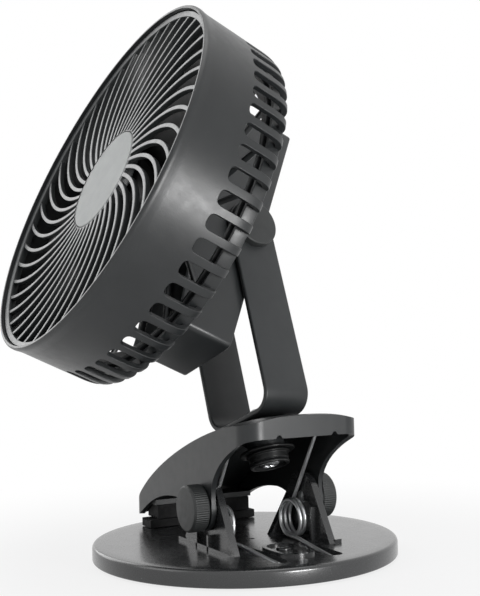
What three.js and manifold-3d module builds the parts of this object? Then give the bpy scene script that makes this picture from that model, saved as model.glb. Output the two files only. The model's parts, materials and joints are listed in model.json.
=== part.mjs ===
// Clip fan: a round caged fan head in a U-shaped yoke, on a sprung clip whose lower jaw
// is a weighted round base. Millimetres, +Z up, origin under the middle of the base.
// +X points to the clip's handle, -X to its jaw, and Y runs along the clip's hinge.
import * as THREE from 'three';
import { mergeVertices } from 'three/addons/utils/BufferGeometryUtils.js';
import Module from 'manifold-3d';

const wasm = await Module();
wasm.setup();

// ---- Clearances ----
const GAP = 0.3; // between faces that rest on each other
const RUNNING_GAP = 0.4; // beside a face that turns past another
const PAST = 1; // how far a cutter runs past the face that it opens
const BITE = 0.4; // how far a joined piece sinks into its neighbour

// ---- Sides of round pieces: more where they show ----
const SHOWN_SIDES = 18;
const SEAT_SIDES = 24;
const MOTOR_SIDES = 32;
const HUB_SIDES = 28;
const CELL_SIDES = 20;
const BUTTON_SIDES = 16;
const BORE_SIDES = 12;
const POST_SIDES = 10;
const SCREW_SIDES = 8;
const CURVE_STEPS = 4; // for each arc or curve of an outline
const LEVER_CURVE_STEPS = 6;
const OVAL_CURVE_STEPS = 6;
const BEND_CURVE_STEPS = 5;
const ARM_CURVE_STEPS = 12;
const COARSE_CURVE_STEPS = 2;

// ---- Base: disc, weight, cover and foot ----
const DISC_SIDES = 40;
const HIDDEN_DISC_SIDES = 24;
const BASE_RADIUS = 75;
const BASE_TOP = 8.4;
const BASE_WALL = 2.2;
const BASE_EDGE = 1.4;
const BASE_LIFT = 0.6; // the shell's rim stays clear of the table
const FOOT_PAD_HEIGHT = 1.2;
const FOOT_PAD_INSET = 2.5;
const COVER_HEIGHT = 1.8;
const WEIGHT_HEIGHT = 1.6;
const WEIGHT_INSET = 1.5;
const BASE_SCREW_COUNT = 3;
const BASE_SCREW_INSET = 17; // from the disc's edge
const BASE_SCREW_RADIUS = 1.2;
const BASE_SCREW_HEAD_RADIUS = 2.6;
const BASE_SCREW_HEAD_HEIGHT = 0.8;
const BASE_POST_WALL = 2.2;
const OVAL_X = 42; // raised oval at the foot of the springs
const OVAL_HALF_LENGTH = 15;
const OVAL_HALF_WIDTH = 9;
const OVAL_RIM = 2;
const OVAL_HEIGHT = 1.2;
const OVAL_FLOOR_DROP = 1.2;
const DRAIN_HOLE_X = 7;
const DRAIN_HOLE_RADIUS = 1.5;

// ---- Hinge of the clip ----
const HINGE_X = 14.6;
const HINGE_RISE = 19.1; // hinge axis above the disc
const EAR_INNER = 24; // distance of the ear's inner face from the middle
const EAR_THICKNESS = 3.5;
const EAR_RADIUS = 12.6;
const EAR_FOOT_BACK = 25.6; // foot of the ear, measured from the hinge axis
const EAR_FOOT_FRONT = 26.1;
const EAR_FLANGE_WIDTH = 3.2;
const EAR_FLANGE_HEIGHT = 1.8;
const EAR_RIB_WIDTH = 1.6;
const EAR_RIB_HEIGHT = 7;
const EAR_RIB_SPACING = 12;
const GUSSET_THICKNESS = 3.6;
const GUSSET_REACH = 12;
const GUSSET_HEIGHT = 19.5;
const GUSSET_X = 2.8;
const STOP_RIB_X = 27.7;
const STOP_RIB_THICKNESS = 1.6;
const STOP_RIB_REACH = 2.7;
const STOP_RIB_HEIGHT = 16;
const HINGE_PIN_RADIUS = 3;
const HINGE_KNOB_RADIUS = 11;
const HINGE_KNOB_LENGTH = 8;
const HINGE_KNOB_END_WALL = 2.2;
const KNURL_COUNT = 20;
const KNURL_DEPTH = 0.5;

// ---- Torsion springs ----
const WIRE_RADIUS = 0.95;
const COIL_RADIUS = 8.45;
const COIL_PITCH = 2.6;
const COIL_WHOLE_TURNS = 2;
const COIL_OFFSET_X = 0.6; // coil axis behind the hinge axis
const COIL_SIDE_GAP = 0.6; // between coil and ear
const COIL_STEPS_PER_TURN = 8;
const WIRE_SIDES = 5;
const UPPER_LEG_RISE = 56.6; // degrees above level
const UPPER_LEG_LENGTH = 47.6;
const LOWER_LEG_REACH = 42.8; // along X, coil axis to tip
const LOWER_LEG_KNEE = 9.8; // along X, coil axis to the bend
const LOWER_LEG_DROP = 3.35;
const LOWER_LEG_SHIFT = 2.65; // sideways, towards the middle
const SLOT_START = 12.4; // behind the hinge axis
const SLOT_LENGTH = 35.5;
const SLOT_WIDTH = 7.5;
const SLOT_CENTRE_Y = 14.25;
const LEAST_WIRE_GAP = 0.4;

// ---- Jaw pads ----
const PAD_X = -52;
const LOWER_PAD_LENGTH = 11.8;
const LOWER_PAD_HALF_WIDTH = 31;
const LOWER_PAD_HEIGHT = 4.2;
const UPPER_PAD_LENGTH = 14;
const UPPER_PAD_HEIGHT = 7.3;
const UPPER_PAD_SIDE_GAP = 0.9;
const PAD_GROOVES = 4;
const PAD_GROOVE_WIDTH = 1.1;
const PAD_GROOVE_DEPTH = 0.8;

// ---- Clip lever: x and z are measured from the hinge axis ----
const LEVER_HALF_WIDTH = 30.5;
const LEVER_WALL = 2.6;
const LEVER_FRONT = -85.6;
const LEVER_BACK = 45.4;
const LEVER_NOSE_ROUND = 10;
const LEVER_HANDLE_ROUND = 9;
const LEVER_LOBE_RADIUS = 11;
const LEVER_LIP_Z = -13.6;
const LEVER_LIP_END = -78.1; // x where the lower edge leaves the lip
const LEVER_THROAT = [-68.8, -9.4, -57.4, 0.7, -29.6, 1.6]; // two control points and an end
const LEVER_BELLY = [-16.5, 1]; // control point between throat and lobe
const LEVER_LOBE_START = 225; // degrees
const LEVER_LOBE_END = 368;
const LEVER_UNDERSIDE = [6.3, 16.7, 27, 28.4]; // two control points, lobe to handle
const LEVER_TAIL_Z = 34.8;
const LEVER_TOP_Z = 60; // above every point of the roof
const ROOF_X = [-86.6, -85.6, 47, 47.4]; // control points of the roof's two curves
const ROOF_CREST = [-16.5, 14.1, 52.3, 42.5];
const ROOF_SHOULDER = [-19.2, 14, 50.9, 37.3];
const ROOF_CROWN_POWER = 3;
const ROOF_STEPS = 12;
const ROOF_STRIPS = 6;
const BEAM_HEIGHT = 2.4;
const BEAM_OVERHANG = 2;

// ---- Swivel between lever and yoke: n is the height along the swivel axis ----
const SWIVEL_X = 5.08; // from the hinge axis
const SWIVEL_Z = 37.99;
const SWIVEL_LEAN = 21.3; // degrees, towards the jaw
const SWIVEL_TURN = 10.93; // degrees, as photographed
const SWIVEL_WASHER_RADIUS = 12;
const SWIVEL_WASHER_HEIGHT = 1;
const SEAT_RADIUS = 13;
const SEAT_DEPTH = 4.4;
const SWEEP_RADIUS = 19.5; // of the strap's flat web as it turns over the lever
const BOSS_RADIUS = 9;
const BOSS_LENGTH = 11.9;
const LOWER_WASHER_RADIUS = 12.4;
const LOWER_WASHER_HEIGHT = 1.2;
const COLLAR_RADIUS = 10.6;
const COLLAR_HEIGHT = 6;
const SWIVEL_SCREW_RADIUS = 2.5;
const SWIVEL_HEAD_RADIUS = 4.6;
const SWIVEL_HEAD_HEIGHT = 2.8;
const SWIVEL_HEAD_RECESS = 3.4;
const NUT_RADIUS = 5.2;
const NUT_HEIGHT = 3.4;
const NUT_SIDES = 6;

// ---- Yoke ----
const STRAP_WIDTH = 26.2;
const STRAP_THICKNESS = 2.6;
const YOKE_HALF_WIDTH = 23.65;
const YOKE_BEND_RADIUS = 10.6;
const PIVOT_HEIGHT = 95.78;

// ---- Tilt pivot ----
const TILT_ANGLE = 22.57; // degrees, nose up, as photographed
const TILT_WASHER_RADIUS = 9;
const TILT_SCREW_RADIUS = 2.5;
const TILT_SCREW_HEAD_RADIUS = 5;
const TILT_SCREW_HEAD_HEIGHT = 2.4;
const TILT_SCREW_REACH = 8; // into the box, past its wall
const TILT_KNOB_RADIUS = 12.5;
const TILT_KNOB_HEIGHT = 4;
const TILT_KNOB_ROUND = 0.8;
const TILT_BOSS_WALL = 2.2;

// ---- Rear box: v is up, a is forward, both from the pivot ----
const BOX_HALF_WIDTH = 20;
const BOX_TOP = 78;
const BOX_BOTTOM = -70.8;
const BOX_FRONT = 28.9;
const BOX_BACK = -9.7; // at the pivot's height
const BOX_SLANT = 6.84; // degrees, the back leans out towards the top
const BOX_WALL = 2.2;
const BOX_ROUND = 3;
const BOX_LEDGE = 1.2;
const BOX_LEDGE_HEIGHT = 1.5;
const COVER_THICKNESS = 2.2;
const BOX_SCREW_RADIUS = 1.5;
const BOX_SCREW_HEAD_RADIUS = 3;
const BOX_SCREW_HEAD_HEIGHT = 1.8;
const BOX_SCREW_LENGTH = 12;
const BOX_SCREW_W = 13.6;
const BOX_SCREW_V = 22;
const BOX_BOSS_WALL = 1.7;
const BOX_BOSS_LENGTH = 10.5;
const CELL_RADIUS = 9.2;
const CELL_LENGTH = 65;
const CELL_NIPPLE_RADIUS = 2.8;
const CELL_NIPPLE_HEIGHT = 1.4;
const BOARD_BACK = 2;
const BOARD_THICKNESS = 1.6;
const BOARD_HALF_WIDTH = 10.5;
const BOARD_TOP = 58;
const BOARD_BOTTOM = -52;
const BOARD_POST_RADIUS = 2.8;
const BOARD_POST_V = [-25, 45];
const BOARD_SCREW_RADIUS = 0.9;
const BOARD_SCREW_HEAD_RADIUS = 2;
const BOARD_SCREW_HEAD_HEIGHT = 1.1;
const BOARD_SCREW_LENGTH = 7;
const SWITCH_SIZE = 6;
const SWITCH_HEIGHT = 3.5;
const BUTTON_V = 20;
const BUTTON_RADIUS = 6;
const BUTTON_PROUD = 1;
const BUTTON_FLANGE = 1.2;
const BUTTON_FLANGE_HEIGHT = 0.8;
const BUTTON_STEM_RADIUS = 1.8;
const BUTTON_STEM_GAP = 1; // to the switch, taken up by the press
const LENS_V = 33;
const LENS_RADIUS = 1.5;
const LENS_LENGTH = 3;
const SOCKET_V = -40;
const SOCKET_WIDTH = 9;
const SOCKET_HEIGHT = 3.4;
const SOCKET_LENGTH = 6.4;

// ---- Fan head ----
const SHELL_RADIUS = 92.2;
const SHELL_DEPTH = 49;
const SHELL_WALL = 2.4;
const SHELL_BACK_ROUND = 5.7;
const SHELL_BACK_WIDTH = 14.2; // from the side in to the back's round opening
const SHELL_FLANGE = 2.6;
const SLOT_DEPTH = 7.2; // how far the slots are cut in from the side
const LIP_BEAD = 0.5;
const LIP_BEAD_DEPTH = 2; // widest place, below the front edge
const LIP_LENGTH = 6.5;
const LIP_WALL = 1.4;
const SLOT_COUNT = 52;
const SLOT_TURN = 3.6; // degrees, first slot from the w axis
const SIDE_SLOT_WIDTH = 7.2;
const SIDE_SLOT_REACH = 22; // from the shell's back to the round end
const RIM_WIDTH = 2.7;
const RIM_HEIGHT = 4.7;
const RIM_BEVEL = 1.4;
const RIM_DROP = 1.5; // below the shell's front lip
const RIB_COUNT = 42;
const RIB_WIDTH = 2;
const RIB_HEIGHT = 2.7;
const RIB_DROP = 4.9; // rib faces below the shell's front lip
const RIB_START = -2.7; // degrees
const RIB_SWEEP = -0.344; // degrees for each millimetre outwards
const RIB_SWEEP_GROWTH = -0.00189;
const RIB_STEPS = 4;
const HUB_RADIUS = 26.2;
const HUB_DISC_HEIGHT = 2.3;
const HUB_PLATE = 2.2;
const HUB_RIM = 0.9;
const BACK_PLATE_RADIUS = 34;
const BACK_BAR_COUNT = 18;
const BACK_BAR_WIDTH = 2.2;
const BACK_RING_WIDTH = 3.2;
const BACK_RING_SIDES = 24;
const BACK_LIP_HEIGHT = 1.9;
const BACK_LIP_REACH = 4.6;
const UPSTAND_WIDTH = 1.8;
const UPSTAND_HEIGHT = 3; // above the lip, seen through the side slots
const MOTOR_RADIUS = 13.5;
const MOTOR_LENGTH = 24.5;
const MOTOR_CUP_WALL = 2.5;
const MOTOR_CUP_HEIGHT = 8;
const SHAFT_RADIUS = 1.5;
const SHAFT_DEPTH = 17; // inside the motor
const IMPELLER_HUB_RADIUS = 20;
const IMPELLER_HUB_WALL = 2.5;
const IMPELLER_HUB_LENGTH = 19;
const IMPELLER_FRONT_GAP = 3.4; // behind the grille's hub
const IMPELLER_BOSS_RADIUS = 4.5;
const IMPELLER_BOSS_LENGTH = 6;
const IMPELLER_BORE_END = 1; // left whole in front of the bore
const BLADE_COUNT = 5;
const BLADE_TIP_ROOM = 10.2; // from the tip to the shell's side
const BLADE_ROOT_CHORD = 24;
const BLADE_TIP_CHORD = 60;
const BLADE_ROOT_PITCH = 42; // degrees
const BLADE_TIP_PITCH = 23;
const BLADE_THICKNESS = 1.8;
const BLADE_SWEEP = 16; // degrees, root to tip
const BLADE_STEPS = 4;
const BLADE_STRIPS = 2;

// ---- Values that follow from the ones above ----
const HINGE_Z = BASE_TOP + HINGE_RISE;
const BASE_SCREW_CIRCLE = BASE_RADIUS - BASE_SCREW_INSET;
const EAR_OUTER = EAR_INNER + EAR_THICKNESS;
const LEVER_INNER = LEVER_HALF_WIDTH - LEVER_WALL;
const COVER_BOTTOM = FOOT_PAD_HEIGHT + GAP;
const COVER_TOP = COVER_BOTTOM + COVER_HEIGHT;
const PLATE_BOTTOM = BASE_TOP - BASE_WALL;
const COIL_X = HINGE_X + COIL_OFFSET_X;
const COIL_Z = BASE_TOP + RUNNING_GAP + WIRE_RADIUS + COIL_RADIUS;
const UPPER_PAD_BOTTOM = BASE_TOP + GAP + LOWER_PAD_HEIGHT + GAP - HINGE_Z;
const SEAT_TOP = -(SWIVEL_WASHER_HEIGHT + 2 * GAP);
const BOSS_BOTTOM = SEAT_TOP - BOSS_LENGTH;
const SHELL_BACK = BOX_FRONT + GAP;
const SHELL_FRONT = SHELL_BACK + SHELL_DEPTH;
const SHELL_INNER = SHELL_RADIUS - SHELL_WALL;
const SHELL_HOLE_RADIUS = SHELL_RADIUS - SHELL_BACK_WIDTH;
const LIP_INNER = SHELL_RADIUS - LIP_WALL;
const RIM_OUTER = LIP_INNER - GAP;
const FLANGE_TOP = SHELL_BACK + SHELL_FLANGE;
const RIB_FRONT = SHELL_FRONT - RIB_DROP;
const RIB_BACK = RIB_FRONT - RIB_HEIGHT;
const HUB_CUP_RADIUS = HUB_RADIUS + GAP + HUB_RIM;
const BACK_PLATE_TOP = FLANGE_TOP + GAP;
const MOTOR_BACK = BACK_PLATE_TOP + GAP;
const IMPELLER_FRONT = RIB_BACK - HUB_PLATE - IMPELLER_FRONT_GAP;

// ---- Finishes ----
function finish(color, roughness, metalness = 0) {
  return new THREE.MeshStandardMaterial({ color, roughness, metalness });
}
const charcoal = finish(0x3d3f40, 0.5);
const darkGrey = finish(0x4b4d4e, 0.55);
const ribGrey = finish(0x77797a, 0.5);
const silver = finish(0xb0b3b2, 0.38, 0.3);
const paintedSteel = finish(0x454748, 0.45, 0.2);
const rubber = finish(0x1b1b1c, 0.85);
const brightSteel = finish(0xc8cacb, 0.25, 1);
const cellWrap = finish(0x2f6f8f, 0.45);
const boardGreen = finish(0x1f5a3c, 0.6);
const clearLens = finish(0xd8f0e4, 0.15);

// ---- Small helpers ----
const rad = THREE.MathUtils.degToRad;
const SIDES = { left: -1, right: 1 };

/** Turn a closed three.js geometry into a solid, facing outwards. */
function solid(geometry) {
  geometry.deleteAttribute('normal');
  geometry.deleteAttribute('uv');
  const merged = mergeVertices(geometry, 1e-4);
  const corners = merged.index.array;
  const triangles = [];
  for (let i = 0; i < corners.length; i += 3) {
    const [a, b, c] = [corners[i], corners[i + 1], corners[i + 2]];
    if (a !== b && b !== c && c !== a) triangles.push(a, b, c);
  }
  const vertProperties = Float32Array.from(merged.attributes.position.array);
  const triVerts = Uint32Array.from(triangles);
  const body = new wasm.Manifold(new wasm.Mesh({ numProp: 3, vertProperties, triVerts }));
  if (body.volume() > 0) return body;
  const flipped = triVerts.map((_, i) => triVerts[i % 3 === 0 ? i : i + (i % 3 === 1 ? 1 : -1)]);
  return new wasm.Manifold(new wasm.Mesh({ numProp: 3, vertProperties, triVerts: flipped }));
}

const join = (...parts) => wasm.Manifold.union(parts);
const cut = (body, ...tools) => wasm.Manifold.difference([body, ...tools]);
const common = (...parts) => wasm.Manifold.intersection(parts);

/** Add a solid to a group as a named mesh with a finish. */
function piece(parent, name, body, material) {
  const { vertProperties, triVerts } = body.getMesh();
  const geometry = new THREE.BufferGeometry();
  geometry.setAttribute('position', new THREE.BufferAttribute(Float32Array.from(vertProperties), 3));
  geometry.setIndex(Array.from(triVerts));
  geometry.computeVertexNormals();
  const mesh = new THREE.Mesh(geometry, material);
  mesh.name = name;
  parent.add(mesh);
  return mesh;
}

function block(x0, x1, y0, y1, z0, z1) {
  const box = new THREE.BoxGeometry(x1 - x0, y1 - y0, z1 - z0);
  return box.translate((x0 + x1) / 2, (y0 + y1) / 2, (z0 + z1) / 2);
}

/** Round bar along Z. */
function rod(radius, low, high, sides = SHOWN_SIDES) {
  const bar = new THREE.CylinderGeometry(radius, radius, high - low, sides);
  return bar.rotateX(Math.PI / 2).translate(0, 0, (low + high) / 2);
}

/** Round bar along Y. */
function crossRod(radius, y0, y1, sides = SHOWN_SIDES) {
  const bar = new THREE.CylinderGeometry(radius, radius, y1 - y0, sides);
  return bar.translate(0, (y0 + y1) / 2, 0);
}

/** Round bar along X. */
function sideRod(radius, x0, x1, sides = SHOWN_SIDES) {
  return crossRod(radius, x0, x1, sides).rotateZ(-Math.PI / 2);
}

/** Body of revolution about Z from a list of [radius, height]. */
function turned(profile, sides = SHOWN_SIDES) {
  const points = profile.map(([radius, height]) => new THREE.Vector2(radius, height));
  return new THREE.LatheGeometry(points, sides).rotateX(Math.PI / 2);
}

/** Flat ring about Z. */
function ring(inner, outer, low, high, sides = SHOWN_SIDES) {
  return turned([[inner, low], [outer, low], [outer, high], [inner, high], [inner, low]], sides);
}

/** Outline in X and Y, thickened along Z. */
function prism(outline, low, high, curveSegments = CURVE_STEPS) {
  const depth = high - low;
  const body = new THREE.ExtrudeGeometry(outline, { depth, bevelEnabled: false, curveSegments });
  return body.translate(0, 0, low);
}

/** Outline in X and Z, thickened along Y. */
function sidePrism(outline, y0, y1, curveSegments = LEVER_CURVE_STEPS) {
  return prism(outline, -y1, -y0, curveSegments).rotateX(Math.PI / 2);
}

/** Rectangle about the X axis, with its own corner radius at each end. */
function roundedPlan(x0, x1, halfWidth, frontRound, backRound) {
  const quarter = Math.PI / 2;
  const plan = new THREE.Shape();
  plan.absarc(x0 + frontRound, frontRound - halfWidth, frontRound, 2 * quarter, 3 * quarter);
  plan.absarc(x1 - backRound, backRound - halfWidth, backRound, 3 * quarter, 4 * quarter);
  plan.absarc(x1 - backRound, halfWidth - backRound, backRound, 0, quarter);
  plan.absarc(x0 + frontRound, halfWidth - frontRound, frontRound, quarter, 2 * quarter);
  return plan;
}

/** Slot shape along X between the centres of its two round ends. */
function stadium(x0, x1, y, radius) {
  const quarter = Math.PI / 2;
  const outline = new THREE.Shape();
  outline.absarc(x0, y, radius, quarter, 3 * quarter);
  outline.absarc(x1, y, radius, -quarter, quarter);
  return outline;
}

/** Near and far distance on one side of the middle, in rising order. */
function span(side, near, far) {
  return side > 0 ? [near, far] : [-far, -near];
}

/** Value of a cubic curve with four control values. */
function cubic([a, b, c, d], t) {
  const s = 1 - t;
  return s * s * s * a + 3 * s * s * t * b + 3 * s * t * t * c + t * t * t * d;
}

// ---- Groups: each one carries the next ----
const fan = new THREE.Group();

const clip = new THREE.Group();
clip.position.set(HINGE_X, 0, HINGE_Z);
fan.add(clip);

const swivel = new THREE.Group();
swivel.position.set(SWIVEL_X, 0, SWIVEL_Z);
swivel.rotation.y = -rad(SWIVEL_LEAN);
swivel.updateMatrix();
clip.add(swivel);

// Inside the yoke x runs from arm to arm, y up the arms and z across the strap.
const bracket = new THREE.Group();
bracket.rotation.set(Math.PI / 2, 0, rad(SWIVEL_TURN), 'ZYX');
swivel.add(bracket);

// Inside the head x runs along the tilt axis, y up the rear box and z out of the grille.
const head = new THREE.Group();
head.position.y = PIVOT_HEIGHT;
head.rotation.x = -rad(TILT_ANGLE);
bracket.add(head);

// ---- Base ----
function baseScrewPlaces() {
  return Array.from({ length: BASE_SCREW_COUNT }, (_, i) => {
    const turn = Math.PI + (i * 2 * Math.PI) / BASE_SCREW_COUNT;
    return [BASE_SCREW_CIRCLE * Math.cos(turn), BASE_SCREW_CIRCLE * Math.sin(turn)];
  });
}

/** Same shape at each cover screw. */
function atBaseScrews(shape) {
  return join(...baseScrewPlaces().map(([x, y]) => solid(shape().translate(x, y, 0))));
}

function earOutline() {
  const tangent = (footX, turnSign) => {
    const away = Math.hypot(footX, HINGE_RISE);
    return Math.atan2(-HINGE_RISE, footX) + turnSign * Math.acos(EAR_RADIUS / away);
  };
  const outline = new THREE.Shape();
  const foot = -HINGE_RISE - BITE;
  outline.moveTo(-EAR_FOOT_FRONT, foot);
  outline.lineTo(EAR_FOOT_BACK, foot);
  outline.lineTo(EAR_FOOT_BACK, -HINGE_RISE);
  outline.absarc(0, 0, EAR_RADIUS, tangent(EAR_FOOT_BACK, 1), tangent(-EAR_FOOT_FRONT, -1) + 2 * Math.PI);
  outline.lineTo(-EAR_FOOT_FRONT, -HINGE_RISE);
  return outline;
}

function ear(side) {
  const plate = sidePrism(earOutline(), ...span(side, EAR_INNER, EAR_OUTER)).translate(HINGE_X, 0, HINGE_Z);
  const [flangeNear, flangeFar] = span(side, EAR_OUTER - BITE, EAR_OUTER + EAR_FLANGE_WIDTH);
  const footLow = BASE_TOP - BITE;
  const flange = block(HINGE_X - EAR_FOOT_FRONT, HINGE_X + EAR_FOOT_BACK, flangeNear, flangeFar,
    footLow, BASE_TOP + EAR_FLANGE_HEIGHT);
  const ribs = [-0.5, 0.5].map((place) => {
    const x = HINGE_X + place * EAR_RIB_SPACING;
    return block(x - EAR_RIB_WIDTH / 2, x + EAR_RIB_WIDTH / 2, flangeNear, flangeFar,
      footLow, BASE_TOP + EAR_RIB_HEIGHT);
  });
  const gusset = new THREE.Shape();
  const inner = EAR_INNER + BITE;
  gusset.moveTo(side * (EAR_INNER - GUSSET_REACH), 0);
  gusset.lineTo(side * inner, 0);
  gusset.lineTo(side * inner, GUSSET_HEIGHT + BITE);
  gusset.lineTo(side * (EAR_INNER - BITE), GUSSET_HEIGHT + BITE);
  // An outline in Y and Z: its first axis is turned from X to Y.
  const web = prism(gusset, -GUSSET_THICKNESS / 2, GUSSET_THICKNESS / 2);
  web.rotateX(Math.PI / 2).rotateZ(Math.PI / 2).translate(GUSSET_X, 0, footLow);
  const stopRib = block(STOP_RIB_X - STOP_RIB_THICKNESS / 2, STOP_RIB_X + STOP_RIB_THICKNESS / 2,
    ...span(side, EAR_INNER - STOP_RIB_REACH, inner), footLow, BASE_TOP + STOP_RIB_HEIGHT);
  return join(...[plate, flange, ...ribs, web, stopRib].map(solid));
}

function springSlot(side) {
  const start = HINGE_X + SLOT_START + SLOT_WIDTH / 2;
  const end = HINGE_X + SLOT_START + SLOT_LENGTH - SLOT_WIDTH / 2;
  return solid(prism(stadium(start, end, side * SLOT_CENTRE_Y, SLOT_WIDTH / 2),
    PLATE_BOTTOM - PAST, BASE_TOP + PAST));
}

function baseShell() {
  const wallInner = BASE_RADIUS - BASE_WALL;
  const shell = solid(turned([
    [0, PLATE_BOTTOM], [wallInner, PLATE_BOTTOM], [wallInner, BASE_LIFT], [BASE_RADIUS, BASE_LIFT],
    [BASE_RADIUS, BASE_TOP - BASE_EDGE], [BASE_RADIUS - BASE_EDGE * 0.3, BASE_TOP - BASE_EDGE * 0.3],
    [BASE_RADIUS - BASE_EDGE, BASE_TOP], [0, BASE_TOP],
  ], DISC_SIDES));
  const bore = BASE_SCREW_RADIUS + GAP;
  const postRadius = bore + BASE_POST_WALL;
  const posts = atBaseScrews(() => rod(postRadius, COVER_TOP + GAP, PLATE_BOTTOM + BITE, POST_SIDES));
  const bores = atBaseScrews(() => rod(bore, COVER_TOP - PAST, PLATE_BOTTOM, SCREW_SIDES));
  const ovalEnds = OVAL_HALF_LENGTH - OVAL_HALF_WIDTH;
  const oval = (inset, low, high) => solid(prism(
    stadium(OVAL_X - ovalEnds, OVAL_X + ovalEnds, 0, OVAL_HALF_WIDTH - inset), low, high, OVAL_CURVE_STEPS));
  const ovalRaised = oval(0, BASE_TOP - BITE, BASE_TOP + OVAL_HEIGHT);
  const ovalFloor = oval(OVAL_RIM, BASE_TOP - OVAL_FLOOR_DROP, BASE_TOP + OVAL_HEIGHT + PAST);
  const drain = solid(rod(DRAIN_HOLE_RADIUS, PLATE_BOTTOM - PAST, BASE_TOP + PAST, SCREW_SIDES)
    .translate(DRAIN_HOLE_X, 0, 0));
  const pinHole = solid(crossRod(HINGE_PIN_RADIUS + GAP, -BASE_RADIUS, BASE_RADIUS)
    .translate(HINGE_X, 0, HINGE_Z));
  const raised = join(shell, posts, ovalRaised, ear(SIDES.left), ear(SIDES.right));
  return cut(raised, bores, ovalFloor, drain, pinHole, springSlot(SIDES.left), springSlot(SIDES.right));
}

function buildBase() {
  piece(fan, 'base_shell', baseShell(), charcoal);

  const coverRadius = BASE_RADIUS - BASE_WALL - GAP;
  const footRadius = coverRadius - FOOT_PAD_INSET;
  piece(fan, 'base_foot_pad', solid(rod(footRadius, 0, FOOT_PAD_HEIGHT, DISC_SIDES)), rubber);

  const headTop = COVER_BOTTOM + BASE_SCREW_HEAD_HEIGHT;
  const cover = solid(rod(coverRadius, COVER_BOTTOM, COVER_TOP, HIDDEN_DISC_SIDES));
  const below = COVER_BOTTOM - PAST;
  const coverHoles = atBaseScrews(() => rod(BASE_SCREW_RADIUS + GAP, below, COVER_TOP + PAST, SCREW_SIDES));
  const headPockets = atBaseScrews(() => rod(BASE_SCREW_HEAD_RADIUS + GAP, below, headTop + GAP, POST_SIDES));
  piece(fan, 'base_cover', cut(cover, coverHoles, headPockets), darkGrey);

  const weightBottom = COVER_TOP + GAP;
  const weightTop = weightBottom + WEIGHT_HEIGHT;
  const weight = solid(rod(coverRadius - WEIGHT_INSET, weightBottom, weightTop, HIDDEN_DISC_SIDES));
  const postRadius = BASE_SCREW_RADIUS + GAP + BASE_POST_WALL;
  const weightHoles = atBaseScrews(() => rod(postRadius + GAP, COVER_TOP, PLATE_BOTTOM, POST_SIDES));
  piece(fan, 'base_weight', cut(weight, weightHoles), brightSteel);

  baseScrewPlaces().forEach(([x, y], i) => {
    const screw = join(solid(rod(BASE_SCREW_HEAD_RADIUS, COVER_BOTTOM, headTop, SCREW_SIDES)),
      solid(rod(BASE_SCREW_RADIUS, headTop - BITE, PLATE_BOTTOM - GAP, SCREW_SIDES)));
    piece(fan, `base_screw_${i + 1}`, screw, brightSteel).position.set(x, y, 0);
  });
}

/** Pad with grooves along Y in its gripping face; `up` says which way that face looks. */
function jawPad(length, halfWidth, bottom, height, up) {
  const body = solid(block(-length / 2, length / 2, -halfWidth, halfWidth, bottom, bottom + height));
  const face = up > 0 ? bottom + height : bottom;
  const grooves = Array.from({ length: PAD_GROOVES }, (_, i) => {
    const x = length * ((i + 1) / (PAD_GROOVES + 1) - 0.5);
    const floor = face - up * PAD_GROOVE_DEPTH;
    const low = Math.min(floor, face + up * PAST);
    const high = Math.max(floor, face + up * PAST);
    return solid(block(x - PAD_GROOVE_WIDTH / 2, x + PAD_GROOVE_WIDTH / 2,
      -halfWidth - PAST, halfWidth + PAST, low, high));
  });
  return cut(body, ...grooves);
}

function buildLowerPad() {
  const pad = jawPad(LOWER_PAD_LENGTH, LOWER_PAD_HALF_WIDTH, BASE_TOP + GAP, LOWER_PAD_HEIGHT, 1);
  piece(fan, 'lower_jaw_pad', pad, rubber).position.x = PAD_X;
}

// ---- Hinge knobs and pins ----
function knurledOutline(radius) {
  const outline = new THREE.Shape();
  for (let i = 0; i < 2 * KNURL_COUNT; i += 1) {
    const turn = (i * Math.PI) / KNURL_COUNT;
    const reach = i % 2 === 0 ? radius : radius - KNURL_DEPTH;
    const point = [reach * Math.cos(turn), reach * Math.sin(turn)];
    if (i === 0) outline.moveTo(...point);
    else outline.lineTo(...point);
  }
  return outline;
}

function buildHinge(word, side) {
  const knobNear = LEVER_HALF_WIDTH + RUNNING_GAP;
  const knobFar = knobNear + HINGE_KNOB_LENGTH;
  const pinEnd = knobFar - HINGE_KNOB_END_WALL - GAP;
  const pin = solid(crossRod(HINGE_PIN_RADIUS, ...span(side, EAR_INNER + GAP, pinEnd)));
  piece(fan, `hinge_pin_${word}`, pin, brightSteel).position.set(HINGE_X, 0, HINGE_Z);

  const body = solid(sidePrism(knurledOutline(HINGE_KNOB_RADIUS), ...span(side, knobNear, knobFar)));
  const bore = solid(crossRod(HINGE_PIN_RADIUS + GAP, ...span(side, knobNear - PAST, pinEnd + GAP)));
  piece(fan, `hinge_knob_${word}`, cut(body, bore), charcoal).position.set(HINGE_X, 0, HINGE_Z);
}

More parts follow.
